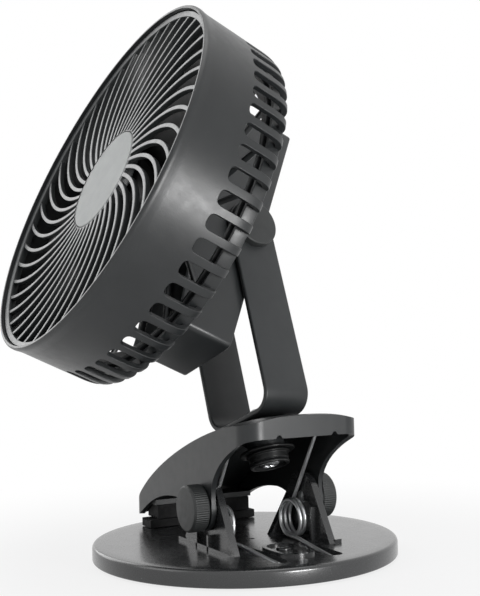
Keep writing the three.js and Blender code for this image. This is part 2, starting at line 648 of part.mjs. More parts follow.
// ---- Springs: one unbroken wire each ----
/** Middle line of a spring: tip, bend, coil and upper leg, as seen on the right side. */
function springLine() {
  const outerY = EAR_INNER - COIL_SIDE_GAP - WIRE_RADIUS;
  const endTurn = 90 + UPPER_LEG_RISE;
  const totalTurn = 270 - endTurn + 360 * COIL_WHOLE_TURNS;
  const innerY = outerY - (COIL_PITCH * totalTurn) / 360;
  const steps = Math.round((totalTurn / 360) * COIL_STEPS_PER_TURN);
  const tip = new THREE.Vector3(LOWER_LEG_REACH, innerY - LOWER_LEG_SHIFT, -COIL_RADIUS - LOWER_LEG_DROP);
  const coilStart = new THREE.Vector3(0, innerY, -COIL_RADIUS);
  const knee = tip.clone().lerp(coilStart, 1 - LOWER_LEG_KNEE / LOWER_LEG_REACH).setZ(-COIL_RADIUS);
  const line = [tip, knee];
  for (let i = 0; i <= steps; i += 1) {
    const share = i / steps;
    const turn = rad(270 - totalTurn * share);
    const y = THREE.MathUtils.lerp(innerY, outerY, share);
    line.push(new THREE.Vector3(COIL_RADIUS * Math.cos(turn), y, COIL_RADIUS * Math.sin(turn)));
  }
  const rise = rad(UPPER_LEG_RISE);
  const leg = new THREE.Vector3(Math.cos(rise), 0, Math.sin(rise)).multiplyScalar(UPPER_LEG_LENGTH);
  line.push(line[line.length - 1].clone().add(leg));
  return line;
}

/** Least distance between stretches of a wire that aren't neighbours, less its thickness. */
function leastWireGap(line) {
  const samples = [];
  let travelled = 0;
  for (let i = 1; i < line.length; i += 1) {
    const length = line[i].distanceTo(line[i - 1]);
    const count = Math.max(1, Math.ceil(length / WIRE_RADIUS));
    for (let k = 0; k < count; k += 1) {
      const point = line[i - 1].clone().lerp(line[i], k / count);
      samples.push({ point, at: travelled + (length * k) / count });
    }
    travelled += length;
  }
  let least = Infinity;
  samples.forEach((one, i) => samples.slice(i + 1).forEach((other) => {
    if (other.at - one.at < Math.PI * COIL_RADIUS) return;
    least = Math.min(least, one.point.distanceTo(other.point) - 2 * WIRE_RADIUS);
  }));
  return least;
}

/** Closed tube along a line, with a ring of points at each step and a point on each end. */
function wireTube(line) {
  const last = line.length - 1;
  const positions = [];
  const triangles = [];
  let across = new THREE.Vector3(0, 1, 0);
  line.forEach((point, i) => {
    const ahead = line[Math.min(i + 1, last)].clone().sub(point).normalize();
    const behind = point.clone().sub(line[Math.max(i - 1, 0)]).normalize();
    const along = ahead.add(behind).normalize();
    across = across.clone().addScaledVector(along, -across.dot(along)).normalize();
    const upward = new THREE.Vector3().crossVectors(along, across);
    for (let k = 0; k < WIRE_SIDES; k += 1) {
      const turn = (2 * Math.PI * k) / WIRE_SIDES;
      const rim = point.clone().addScaledVector(across, WIRE_RADIUS * Math.cos(turn));
      positions.push(...rim.addScaledVector(upward, WIRE_RADIUS * Math.sin(turn)));
    }
  });
  for (let i = 0; i < last; i += 1) {
    for (let k = 0; k < WIRE_SIDES; k += 1) {
      const [a, b] = [i * WIRE_SIDES + k, i * WIRE_SIDES + ((k + 1) % WIRE_SIDES)];
      const [c, d] = [a + WIRE_SIDES, b + WIRE_SIDES];
      triangles.push(a, b, d, a, d, c);
    }
  }
  const lastRing = last * WIRE_SIDES;
  for (let k = 1; k < WIRE_SIDES - 1; k += 1) {
    triangles.push(0, k + 1, k, lastRing, lastRing + k, lastRing + k + 1);
  }
  const tube = new THREE.BufferGeometry();
  tube.setAttribute('position', new THREE.Float32BufferAttribute(positions, 3));
  return tube.setIndex(triangles);
}

function buildSpring(word, side) {
  const line = springLine();
  const gap = leastWireGap(line);
  console.log(`spring_${word}: least gap of the wire to itself ${gap.toFixed(2)} mm`);
  if (gap <= LEAST_WIRE_GAP) console.warn(`spring_${word}: its turns are too close`);
  const placed = line.map((point) => new THREE.Vector3(point.x, side * point.y, point.z));
  piece(fan, `spring_${word}`, solid(wireTube(placed)), brightSteel).position.set(COIL_X, 0, COIL_Z);
}

// ---- Clip lever ----
/** Box whose top follows the crowned roof, lowered by `inset`. */
function roofBlock(inset) {
  const box = new THREE.BoxGeometry(1, 1, 1, ROOF_STEPS, ROOF_STRIPS, 1);
  const position = box.attributes.position;
  for (let i = 0; i < position.count; i += 1) {
    const along = position.getX(i) + 0.5;
    const across = 2 * position.getY(i);
    const crest = cubic(ROOF_CREST, along);
    const fall = (crest - cubic(ROOF_SHOULDER, along)) * Math.abs(across) ** ROOF_CROWN_POWER;
    const z = position.getZ(i) > 0 ? crest - fall - inset : -HINGE_RISE;
    position.setXYZ(i, cubic(ROOF_X, along), across * LEVER_HALF_WIDTH, z);
  }
  return box;
}

/** Side view of the lever: everything above its lower edge. */
function leverSide() {
  const lobeStart = rad(LEVER_LOBE_START);
  const lobe = new THREE.Vector2(Math.cos(lobeStart), Math.sin(lobeStart)).multiplyScalar(LEVER_LOBE_RADIUS);
  const tail = LEVER_BACK + 2 * PAST;
  const outline = new THREE.Shape();
  outline.moveTo(LEVER_FRONT - PAST, LEVER_LIP_Z);
  outline.lineTo(LEVER_LIP_END, LEVER_LIP_Z);
  outline.bezierCurveTo(...LEVER_THROAT);
  outline.quadraticCurveTo(...LEVER_BELLY, lobe.x, lobe.y);
  outline.absarc(0, 0, LEVER_LOBE_RADIUS, lobeStart, rad(LEVER_LOBE_END));
  outline.bezierCurveTo(...LEVER_UNDERSIDE, tail, LEVER_TAIL_Z);
  outline.lineTo(tail, LEVER_TOP_Z);
  outline.lineTo(LEVER_FRONT - PAST, LEVER_TOP_Z);
  return outline;
}

function leverPlan(inset) {
  return roundedPlan(LEVER_FRONT + inset, LEVER_BACK - inset, LEVER_HALF_WIDTH - inset,
    LEVER_NOSE_ROUND - inset, LEVER_HANDLE_ROUND - inset);
}

function clipLever() {
  const solidPlan = (inset) => solid(prism(leverPlan(inset), -HINGE_RISE - PAST, LEVER_TOP_Z));
  const outside = common(solid(roofBlock(0)), solidPlan(0));
  const inside = common(solid(roofBlock(LEVER_WALL)), solidPlan(LEVER_WALL));
  const reach = LEVER_HALF_WIDTH + PAST;
  const side = solid(sidePrism(leverSide(), -reach, reach));
  const shell = common(cut(outside, inside), side);
  const beamBottom = UPPER_PAD_BOTTOM + UPPER_PAD_HEIGHT + GAP;
  const beamX = PAD_X - HINGE_X;
  const beamHalf = UPPER_PAD_LENGTH / 2 + BEAM_OVERHANG;
  const beam = solid(block(beamX - beamHalf, beamX + beamHalf,
    -LEVER_INNER - BITE, LEVER_INNER + BITE, beamBottom, beamBottom + BEAM_HEIGHT));
  const aboutSwivel = (...sizes) => solid(rod(...sizes).applyMatrix4(swivel.matrix));
  const seat = aboutSwivel(SEAT_RADIUS, SEAT_TOP - SEAT_DEPTH, SEAT_TOP);
  const boss = aboutSwivel(BOSS_RADIUS, BOSS_BOTTOM, SEAT_TOP - BITE);
  const screwHole = aboutSwivel(SWIVEL_SCREW_RADIUS + GAP, BOSS_BOTTOM - PAST, SEAT_TOP + PAST, BORE_SIDES);
  const washerRoom = SWIVEL_WASHER_RADIUS + RUNNING_GAP;
  const seatRoom = aboutSwivel(washerRoom, SEAT_TOP, STRAP_THICKNESS, SEAT_SIDES);
  const sweepRoom = aboutSwivel(SWEEP_RADIUS, -RUNNING_GAP, YOKE_BEND_RADIUS, SEAT_SIDES);
  const pinHole = solid(crossRod(HINGE_PIN_RADIUS + GAP, -reach, reach));
  return cut(join(shell, common(beam, outside), seat, boss), screwHole, pinHole, seatRoom, sweepRoom);
}

function buildClip() {
  piece(clip, 'clip_lever', clipLever(), charcoal);
  const halfWidth = LEVER_INNER - UPPER_PAD_SIDE_GAP;
  const pad = jawPad(UPPER_PAD_LENGTH, halfWidth, UPPER_PAD_BOTTOM, UPPER_PAD_HEIGHT, -1);
  piece(clip, 'upper_jaw_pad', pad, rubber).position.x = PAD_X - HINGE_X;
  piece(swivel, 'swivel_washer', solid(ring(SWIVEL_SCREW_RADIUS + GAP, SWIVEL_WASHER_RADIUS,
    -GAP - SWIVEL_WASHER_HEIGHT, -GAP)), rubber);
}

// ---- Swivel stack and yoke ----
function buildSwivelStack() {
  const bore = SWIVEL_SCREW_RADIUS + GAP;
  const washerTop = BOSS_BOTTOM - GAP;
  const washerBottom = washerTop - LOWER_WASHER_HEIGHT;
  piece(swivel, 'swivel_lower_washer',
    solid(ring(bore, LOWER_WASHER_RADIUS, washerBottom, washerTop)), brightSteel);

  const collarTop = washerBottom - GAP;
  const collarBottom = collarTop - COLLAR_HEIGHT;
  const headTop = collarBottom + SWIVEL_HEAD_RECESS - GAP;
  const recess = solid(rod(SWIVEL_HEAD_RADIUS + GAP, collarBottom - PAST, headTop + GAP));
  const collar = solid(ring(bore, COLLAR_RADIUS, collarBottom, collarTop));
  piece(swivel, 'swivel_collar', cut(collar, recess), darkGrey);

  const nutBottom = STRAP_THICKNESS + GAP;
  const nutTop = nutBottom + NUT_HEIGHT;
  const screw = join(solid(rod(SWIVEL_HEAD_RADIUS, headTop - SWIVEL_HEAD_HEIGHT, headTop)),
    solid(rod(SWIVEL_SCREW_RADIUS, headTop - BITE, nutTop - GAP, BORE_SIDES)));
  piece(swivel, 'swivel_screw', screw, brightSteel);
  const nut = cut(solid(rod(NUT_RADIUS, nutBottom, nutTop, NUT_SIDES)),
    solid(rod(bore, nutBottom - PAST, nutTop + PAST, BORE_SIDES)));
  piece(swivel, 'swivel_nut', nut, brightSteel);
}

/** Front view of the strap: a U with round bends. */
function strapOutline() {
  const quarter = Math.PI / 2;
  const top = PIVOT_HEIGHT + STRAP_WIDTH / 2;
  const bend = YOKE_BEND_RADIUS;
  const innerBend = bend - STRAP_THICKNESS;
  const bendX = YOKE_HALF_WIDTH - bend;
  const outline = new THREE.Shape();
  outline.moveTo(-YOKE_HALF_WIDTH, top);
  outline.absarc(-bendX, bend, bend, 2 * quarter, 3 * quarter);
  outline.absarc(bendX, bend, bend, 3 * quarter, 4 * quarter);
  outline.lineTo(YOKE_HALF_WIDTH, top);
  outline.lineTo(YOKE_HALF_WIDTH - STRAP_THICKNESS, top);
  outline.absarc(bendX, bend, innerBend, 4 * quarter, 3 * quarter, true);
  outline.absarc(-bendX, bend, innerBend, 3 * quarter, 2 * quarter, true);
  outline.lineTo(STRAP_THICKNESS - YOKE_HALF_WIDTH, top);
  return outline;
}

/** Side view of the strap: straight, with a round top about the pivot. */
function armOutline() {
  const half = STRAP_WIDTH / 2;
  const outline = new THREE.Shape();
  outline.moveTo(-half, -PAST);
  outline.lineTo(half, -PAST);
  outline.absarc(0, PIVOT_HEIGHT, half, 0, Math.PI);
  return outline;
}

function buildYoke() {
  const half = STRAP_WIDTH / 2;
  const bent = solid(prism(strapOutline(), -half, half, BEND_CURVE_STEPS));
  const reach = YOKE_HALF_WIDTH + PAST;
  const rounded = solid(prism(armOutline(), -reach, reach, ARM_CURVE_STEPS).rotateY(Math.PI / 2));
  const pivotHole = solid(sideRod(TILT_SCREW_RADIUS + GAP, -reach, reach).translate(0, PIVOT_HEIGHT, 0));
  const screwHole = solid(crossRod(SWIVEL_SCREW_RADIUS + GAP, -PAST, STRAP_THICKNESS + PAST, BORE_SIDES));
  piece(bracket, 'yoke', cut(common(bent, rounded), pivotHole, screwHole), paintedSteel);
}

// ---- Tilt pivot, one side ----
function buildTiltPivot(word, side) {
  const armInner = YOKE_HALF_WIDTH - STRAP_THICKNESS;
  const bore = TILT_SCREW_RADIUS + GAP;
  const washer = cut(solid(sideRod(TILT_WASHER_RADIUS, ...span(side, BOX_HALF_WIDTH + GAP, armInner - GAP))),
    solid(sideRod(bore, -YOKE_HALF_WIDTH, YOKE_HALF_WIDTH, BORE_SIDES)));
  piece(head, `tilt_washer_${word}`, washer, rubber);

  const headNear = YOKE_HALF_WIDTH + GAP;
  const headFar = headNear + TILT_SCREW_HEAD_HEIGHT;
  const screwEnd = BOX_HALF_WIDTH - TILT_SCREW_REACH + GAP;
  const screw = join(solid(sideRod(TILT_SCREW_HEAD_RADIUS, ...span(side, headNear, headFar))),
    solid(sideRod(TILT_SCREW_RADIUS, ...span(side, screwEnd, headNear + BITE), BORE_SIDES)));
  piece(head, `tilt_screw_${word}`, screw, brightSteel);

  const knobFar = headNear + TILT_KNOB_HEIGHT;
  const profile = [[0, headNear], [TILT_KNOB_RADIUS, headNear], [TILT_KNOB_RADIUS, knobFar - TILT_KNOB_ROUND],
    [TILT_KNOB_RADIUS - TILT_KNOB_ROUND, knobFar], [0, knobFar]];
  const knob = solid(turned(profile).rotateY((side * Math.PI) / 2));
  const pocket = solid(sideRod(TILT_SCREW_HEAD_RADIUS + GAP, ...span(side, headNear - PAST, headFar + GAP)));
  piece(head, `tilt_knob_${word}`, cut(knob, pocket), charcoal);
}

// ---- Rear box ----
/** Slab along the slanted back; depths are measured inwards from the back face. */
function backSlab(near, far) {
  const wide = 2 * (BOX_TOP - BOX_BOTTOM);
  return block(-wide, wide, -wide, wide, near, far).rotateX(-rad(BOX_SLANT)).translate(0, 0, BOX_BACK);
}

/** Upright prism with the box's outline, drawn in by `inset`. */
function boxPrism(inset, front) {
  const round = BOX_ROUND - inset / 2;
  const plan = roundedPlan(BOX_BOTTOM + inset, BOX_TOP - inset, BOX_HALF_WIDTH - inset, round, round);
  return solid(prism(plan, BOX_BACK - BOX_TOP, front, COARSE_CURVE_STEPS).rotateZ(Math.PI / 2));
}

/** Same shape at each of the four screws between box and head. */
function boxScrewPlaces() {
  return [[-1, -1], [1, -1], [-1, 1], [1, 1]].map(([w, v]) => [w * BOX_SCREW_W, v * BOX_SCREW_V]);
}

function atBoxScrews(shape) {
  return join(...boxScrewPlaces().map(([x, y]) => solid(shape().translate(x, y, 0))));
}

function rearBox() {
  const tall = 2 * BOX_TOP;
  const behind = solid(backSlab(-tall, 0));
  const outside = cut(boxPrism(0, BOX_FRONT), behind);
  const inside = boxPrism(BOX_WALL, BOX_FRONT - BOX_WALL);
  const ledgeNear = COVER_THICKNESS + GAP;
  const frame = cut(boxPrism(BOX_WALL - BITE, BOX_FRONT - PAST), boxPrism(BOX_WALL + BOX_LEDGE, BOX_FRONT));
  const ledge = common(frame, solid(backSlab(ledgeNear, ledgeNear + BOX_LEDGE_HEIGHT)));
  const bossInner = BOX_HALF_WIDTH - TILT_SCREW_REACH;
  const tiltBore = TILT_SCREW_RADIUS + GAP;
  const tiltBosses = Object.values(SIDES).map((side) => solid(
    sideRod(tiltBore + TILT_BOSS_WALL, ...span(side, bossInner, BOX_HALF_WIDTH - BITE), BORE_SIDES)));
  const tiltBores = solid(sideRod(tiltBore, -BOX_HALF_WIDTH - PAST, BOX_HALF_WIDTH + PAST, BORE_SIDES));
  const boxBore = BOX_SCREW_RADIUS + GAP;
  const bossBack = BOX_FRONT - BOX_WALL - BOX_BOSS_LENGTH;
  const boxBosses = atBoxScrews(() => rod(boxBore + BOX_BOSS_WALL, bossBack, BOX_FRONT - BITE, POST_SIDES));
  const boxBores = atBoxScrews(() => rod(boxBore, bossBack - PAST, BOX_FRONT + PAST, SCREW_SIDES));
  return cut(join(cut(outside, inside), ledge, ...tiltBosses, boxBosses), tiltBores, boxBores);
}

/** Place a shape made about Z on the slanted back at height v, with Z pointing inwards. */
function onCover(geometry, v) {
  const slant = rad(BOX_SLANT);
  return geometry.rotateX(-slant).translate(0, v, BOX_BACK - v * Math.tan(slant));
}

function socketBlock(clearance) {
  const halfWidth = SOCKET_WIDTH / 2 + clearance;
  const halfHeight = SOCKET_HEIGHT / 2 + clearance;
  const front = BOARD_BACK - GAP;
  const back = front - SOCKET_LENGTH - clearance;
  return block(-halfWidth, halfWidth, SOCKET_V - halfHeight, SOCKET_V + halfHeight, back, front);
}

function rearCover() {
  const plate = common(boxPrism(BOX_WALL + GAP, BOX_FRONT), solid(backSlab(0, COVER_THICKNESS)));
  const slant = Math.tan(rad(BOX_SLANT));
  const postBack = BOX_BACK + COVER_THICKNESS - BITE;
  const posts = BOARD_POST_V.map((v) => solid(
    rod(BOARD_POST_RADIUS, postBack - v * slant, BOARD_BACK - GAP, POST_SIDES).translate(0, v, 0)));
  const screwEnd = BOARD_BACK + BOARD_THICKNESS - BOARD_SCREW_LENGTH;
  const postBores = BOARD_POST_V.map((v) => solid(
    rod(BOARD_SCREW_RADIUS + GAP, screwEnd - GAP, BOARD_BACK, POST_SIDES).translate(0, v, 0)));
  const past = COVER_THICKNESS + PAST;
  const buttonHole = solid(onCover(rod(BUTTON_RADIUS + GAP, -PAST, past, BUTTON_SIDES), BUTTON_V));
  const lensHole = solid(onCover(rod(LENS_RADIUS + GAP, -PAST, past, SCREW_SIDES), LENS_V));
  return cut(join(plate, ...posts), ...postBores, buttonHole, lensHole, solid(socketBlock(GAP)));
}

function batteryCell(bottom) {
  const top = bottom + CELL_LENGTH;
  const shoulder = top - CELL_NIPPLE_HEIGHT;
  const body = rod(CELL_RADIUS, bottom, shoulder, CELL_SIDES);
  const nipple = rod(CELL_NIPPLE_RADIUS, shoulder - BITE, top, BORE_SIDES);
  const a = BOX_FRONT - BOX_WALL - GAP - CELL_RADIUS;
  return solid(body.rotateX(-Math.PI / 2).translate(0, 0, a))
    .add(solid(nipple.rotateX(-Math.PI / 2).translate(0, 0, a)));
}

function buildRearBox() {
  piece(head, 'rear_box', rearBox(), charcoal);
  piece(head, 'rear_cover', rearCover(), charcoal);

  const cellsBottom = BOX_BOTTOM + BOX_WALL + GAP;
  piece(head, 'battery_cell_lower', batteryCell(cellsBottom), cellWrap);
  piece(head, 'battery_cell_upper', batteryCell(cellsBottom + CELL_LENGTH + GAP), cellWrap);

  const boardFront = BOARD_BACK + BOARD_THICKNESS;
  const board = solid(
    block(-BOARD_HALF_WIDTH, BOARD_HALF_WIDTH, BOARD_BOTTOM, BOARD_TOP, BOARD_BACK, boardFront));
  const boardHoles = BOARD_POST_V.map((v) => solid(
    rod(BOARD_SCREW_RADIUS + GAP, BOARD_BACK - PAST, boardFront + PAST, POST_SIDES).translate(0, v, 0)));
  piece(head, 'circuit_board', cut(board, ...boardHoles), boardGreen);
  BOARD_POST_V.forEach((v, i) => {
    const headLow = boardFront + GAP;
    const headHigh = headLow + BOARD_SCREW_HEAD_HEIGHT;
    const screw = join(solid(rod(BOARD_SCREW_HEAD_RADIUS, headLow, headHigh, SCREW_SIDES)),
      solid(rod(BOARD_SCREW_RADIUS, boardFront - BOARD_SCREW_LENGTH, headLow + BITE, POST_SIDES)));
    piece(head, `board_screw_${i + 1}`, screw, brightSteel).position.y = v;
  });

  const switchFront = BOARD_BACK - GAP;
  const switchHalf = SWITCH_SIZE / 2;
  piece(head, 'tact_switch', solid(block(-switchHalf, switchHalf,
    BUTTON_V - switchHalf, BUTTON_V + switchHalf, switchFront - SWITCH_HEIGHT, switchFront)), darkGrey);
  piece(head, 'usb_socket', solid(socketBlock(0)), brightSteel);
  const lens = onCover(rod(LENS_RADIUS, -GAP, LENS_LENGTH, SCREW_SIDES), LENS_V);
  piece(head, 'indicator_lens', solid(lens), clearLens);

  const flangeNear = COVER_THICKNESS + GAP;
  const flangeRadius = BUTTON_RADIUS + BUTTON_FLANGE;
  const backDepth = (switchFront - SWITCH_HEIGHT - BOX_BACK) * Math.cos(rad(BOX_SLANT))
    + BUTTON_V * Math.sin(rad(BOX_SLANT));
  const button = join(
    solid(onCover(rod(BUTTON_RADIUS, -BUTTON_PROUD, flangeNear + BITE, BUTTON_SIDES), BUTTON_V)),
    solid(onCover(rod(flangeRadius, flangeNear, flangeNear + BUTTON_FLANGE_HEIGHT, BUTTON_SIDES), BUTTON_V)),
    solid(onCover(rod(BUTTON_STEM_RADIUS, flangeNear, backDepth - BUTTON_STEM_GAP, POST_SIDES), BUTTON_V)));
  piece(head, 'power_button', button, darkGrey);

  boxScrewPlaces().forEach(([w, v], i) => {
    const headLow = BACK_PLATE_TOP + GAP;
    const headHigh = headLow + BOX_SCREW_HEAD_HEIGHT;
    const screw = join(solid(rod(BOX_SCREW_HEAD_RADIUS, headLow, headHigh, POST_SIDES)),
      solid(rod(BOX_SCREW_RADIUS, headLow - BOX_SCREW_LENGTH, headLow + BITE, SCREW_SIDES)));
    piece(head, `box_screw_${i + 1}`, screw, brightSteel).position.set(w, v, 0);
  });
}

// ---- Fan head ----
function sideSlots() {
  const half = SIDE_SLOT_WIDTH / 2;
  const slotOutline = stadium(-SIDE_SLOT_REACH - PAST, SIDE_SLOT_REACH - half, 0, half);
  const floor = SHELL_RADIUS - SLOT_DEPTH;
  return Array.from({ length: SLOT_COUNT }, (_, i) => {
    const cutter = prism(slotOutline, floor, SHELL_RADIUS + 2 * PAST, COARSE_CURVE_STEPS);
    // The outline's X becomes the head's Z, and its thickness points outwards along X.
    cutter.rotateY(-Math.PI / 2).rotateX(Math.PI).rotateY(Math.PI).translate(0, 0, SHELL_BACK);
    return solid(cutter.rotateZ(rad(SLOT_TURN) + (i * 2 * Math.PI) / SLOT_COUNT));
  });
}

function headShell() {
  const round = SHELL_BACK_ROUND;
  const ledge = SHELL_FRONT - LIP_LENGTH;
  const profile = [
    [SHELL_HOLE_RADIUS, SHELL_BACK], [SHELL_RADIUS - round, SHELL_BACK],
    [SHELL_RADIUS - 0.2 * round, SHELL_BACK + 0.6 * round], [SHELL_RADIUS, SHELL_BACK + 2 * round],
    [SHELL_RADIUS, SHELL_FRONT - 2 * LIP_BEAD_DEPTH], [SHELL_RADIUS + LIP_BEAD, SHELL_FRONT - LIP_BEAD_DEPTH],
    [SHELL_RADIUS - LIP_BEAD, SHELL_FRONT], [LIP_INNER, SHELL_FRONT], [LIP_INNER, ledge],
    [SHELL_INNER, ledge], [SHELL_INNER, SHELL_BACK + 1.7 * round],
    [SHELL_INNER - 0.5 * round, FLANGE_TOP],
    [SHELL_HOLE_RADIUS, FLANGE_TOP], [SHELL_HOLE_RADIUS, SHELL_BACK],
  ];
  // Each slot lies in the middle of one of the shell's flat facets.
  const facetTurn = rad(SLOT_TURN) + Math.PI / SLOT_COUNT;
  return cut(solid(turned(profile, SLOT_COUNT).rotateZ(facetTurn)), ...sideSlots());
}

/** One curved rib of the grille, drawn flat between hub and rim. */
function ribOutline() {
  const start = HUB_CUP_RADIUS - HUB_RIM / 2;
  const end = RIM_OUTER - RIM_WIDTH + 2 * BITE;
  const angleAt = (r) => rad(RIB_START + RIB_SWEEP * (r - start) + RIB_SWEEP_GROWTH * (r - start) ** 2);
  const near = [];
  const far = [];
  for (let i = 0; i <= RIB_STEPS; i += 1) {
    const r = THREE.MathUtils.lerp(start, end, i / RIB_STEPS);
    const angle = angleAt(r);
    const bend = Math.atan(r * rad(RIB_SWEEP + 2 * RIB_SWEEP_GROWTH * (r - start)));
    const side = angle + bend + Math.PI / 2;
    const middle = new THREE.Vector2(r * Math.cos(angle), r * Math.sin(angle));
    const offset = new THREE.Vector2(Math.cos(side), Math.sin(side)).multiplyScalar(RIB_WIDTH / 2);
    near.push(middle.clone().sub(offset));
    far.unshift(middle.clone().add(offset));
  }
  return new THREE.Shape([...near, ...far]);
}

function frontGrille() {
  const ribs = Array.from({ length: RIB_COUNT }, (_, i) => solid(
    prism(ribOutline(), RIB_BACK, RIB_FRONT).rotateZ((i * 2 * Math.PI) / RIB_COUNT)));
  const rimTop = SHELL_FRONT - RIM_DROP;
  const rimBack = rimTop - RIM_HEIGHT;
  const rimInner = RIM_OUTER - RIM_WIDTH;
  const rim = turned([[rimInner, rimBack], [RIM_OUTER, rimBack], [RIM_OUTER, rimTop],
    [rimInner, rimTop - RIM_BEVEL], [rimInner, rimBack]], RIB_COUNT);
  const cupInner = HUB_RADIUS + GAP;
  const cupBack = RIB_BACK - HUB_PLATE;
  const cup = turned([[0, cupBack], [HUB_CUP_RADIUS, cupBack], [HUB_CUP_RADIUS, RIB_FRONT - GAP],
    [cupInner, RIB_FRONT - GAP], [cupInner, RIB_BACK], [0, RIB_BACK]], SEAT_SIDES);
  return join(solid(rim), solid(cup), ...ribs);
}

function rearGrille() {
  const ringOuter = SHELL_HOLE_RADIUS - GAP;
  const ringInner = ringOuter - BACK_RING_WIDTH;
  const lipTop = BACK_PLATE_TOP + BACK_LIP_HEIGHT;
  const lipOuter = ringOuter + BACK_LIP_REACH;
  const rim = turned([[ringInner, SHELL_BACK], [ringOuter, SHELL_BACK], [ringOuter, BACK_PLATE_TOP],
    [lipOuter, BACK_PLATE_TOP], [lipOuter, lipTop + UPSTAND_HEIGHT],
    [lipOuter - UPSTAND_WIDTH, lipTop + UPSTAND_HEIGHT], [lipOuter - UPSTAND_WIDTH, lipTop],
    [ringInner, lipTop], [ringInner, SHELL_BACK]], BACK_RING_SIDES);
  const plate = rod(BACK_PLATE_RADIUS, SHELL_BACK, BACK_PLATE_TOP, BACK_RING_SIDES);
  const cupInner = MOTOR_RADIUS + GAP;
  const cupTop = BACK_PLATE_TOP + MOTOR_CUP_HEIGHT;
  const cup = ring(cupInner, cupInner + MOTOR_CUP_WALL, BACK_PLATE_TOP - BITE, cupTop, MOTOR_SIDES);
  const half = BACK_BAR_WIDTH / 2;
  const bars = Array.from({ length: BACK_BAR_COUNT }, (_, i) => solid(
    block(BACK_PLATE_RADIUS - PAST, ringInner + PAST, -half, half, SHELL_BACK, BACK_PLATE_TOP)
      .rotateZ((i * 2 * Math.PI) / BACK_BAR_COUNT)));
  const screwHoles = atBoxScrews(
    () => rod(BOX_SCREW_RADIUS + GAP, SHELL_BACK - PAST, BACK_PLATE_TOP + PAST, SCREW_SIDES));
  return cut(join(solid(rim), solid(plate), solid(cup), ...bars), screwHoles);
}

// ---- Motor and impeller ----
/** One twisted blade from hub to tip. */
function blade(middle) {
  const sheet = new THREE.BoxGeometry(1, 1, 1, BLADE_STEPS, BLADE_STRIPS, 1);
  const position = sheet.attributes.position;
  const root = IMPELLER_HUB_RADIUS - IMPELLER_HUB_WALL / 2;
  for (let i = 0; i < position.count; i += 1) {
    const out = position.getX(i) + 0.5;
    const radius = THREE.MathUtils.lerp(root, SHELL_RADIUS - BLADE_TIP_ROOM, out);
    const chord = THREE.MathUtils.lerp(BLADE_ROOT_CHORD, BLADE_TIP_CHORD, out) * position.getY(i);
    const pitch = rad(THREE.MathUtils.lerp(BLADE_ROOT_PITCH, BLADE_TIP_PITCH, out));
    const angle = (chord * Math.cos(pitch)) / radius + rad(BLADE_SWEEP) * out;
    const height = middle + chord * Math.sin(pitch) + BLADE_THICKNESS * position.getZ(i);
    position.setXYZ(i, radius * Math.cos(angle), radius * Math.sin(angle), height);
  }
  return sheet;
}

function impeller() {
  const front = IMPELLER_FRONT;
  const back = front - IMPELLER_HUB_LENGTH;
  const wallInner = IMPELLER_HUB_RADIUS - IMPELLER_HUB_WALL;
  const inner = front - IMPELLER_HUB_WALL;
  const hub = turned([[0, inner], [wallInner, inner], [wallInner, back], [IMPELLER_HUB_RADIUS, back],
    [IMPELLER_HUB_RADIUS, front], [0, front]], CELL_SIDES);
  const boss = rod(IMPELLER_BOSS_RADIUS, front - IMPELLER_BOSS_LENGTH, front - BITE, BORE_SIDES);
  const blades = Array.from({ length: BLADE_COUNT }, (_, i) => solid(
    blade(front - IMPELLER_HUB_LENGTH / 2).rotateZ((i * 2 * Math.PI) / BLADE_COUNT)));
  const bore = rod(SHAFT_RADIUS + GAP, back, front - IMPELLER_BORE_END, POST_SIDES);
  return cut(join(solid(hub), solid(boss), ...blades), solid(bore));
}

function buildDrive() {
  const motorFront = MOTOR_BACK + MOTOR_LENGTH;
  const shaftBack = motorFront - SHAFT_DEPTH;
  const shaftFront = IMPELLER_FRONT - IMPELLER_BORE_END - GAP;
  const housing = cut(solid(rod(MOTOR_RADIUS, MOTOR_BACK, motorFront, MOTOR_SIDES)),
    solid(rod(SHAFT_RADIUS + GAP, shaftBack - GAP, motorFront + PAST, POST_SIDES)));
  piece(head, 'motor_housing', housing, brightSteel);
  piece(head, 'motor_shaft', solid(rod(SHAFT_RADIUS, shaftBack, shaftFront, POST_SIDES)), brightSteel);
  piece(head, 'impeller', impeller(), darkGrey);
}

function buildHead() {
  piece(head, 'head_shell', headShell(), charcoal);
  piece(head, 'front_grille', frontGrille(), ribGrey);
  const discBack = RIB_BACK + GAP;
  piece(head, 'hub_disc', solid(rod(HUB_RADIUS, discBack, discBack + HUB_DISC_HEIGHT, HUB_SIDES)), silver);
  piece(head, 'rear_grille', rearGrille(), charcoal);
}

buildBase();
buildLowerPad();
for (const [word, side] of Object.entries(SIDES)) {
  buildHinge(word, side);
  buildSpring(word, side);
  buildTiltPivot(word, side);
}
buildClip();
buildSwivelStack();
buildYoke();
buildRearBox();
buildHead();
buildDrive();

export default fan;
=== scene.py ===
"""Clip fan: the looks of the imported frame.

A round fan head with a caged front and a slim rear box hangs in a U-shaped yoke. The yoke
swivels on a sprung clip whose lower jaw is a weighted round base. Sizes are in millimetres in
a local frame of each sub-assembly, and every finished mesh lies in metres in the row frame.
"""

import json
import logging
import math
from dataclasses import dataclass, field
from enum import Enum
from typing import Callable

import bmesh
import bpy
import numpy as np
from mathutils import Matrix, Vector
from mathutils.geometry import tessellate_polygon


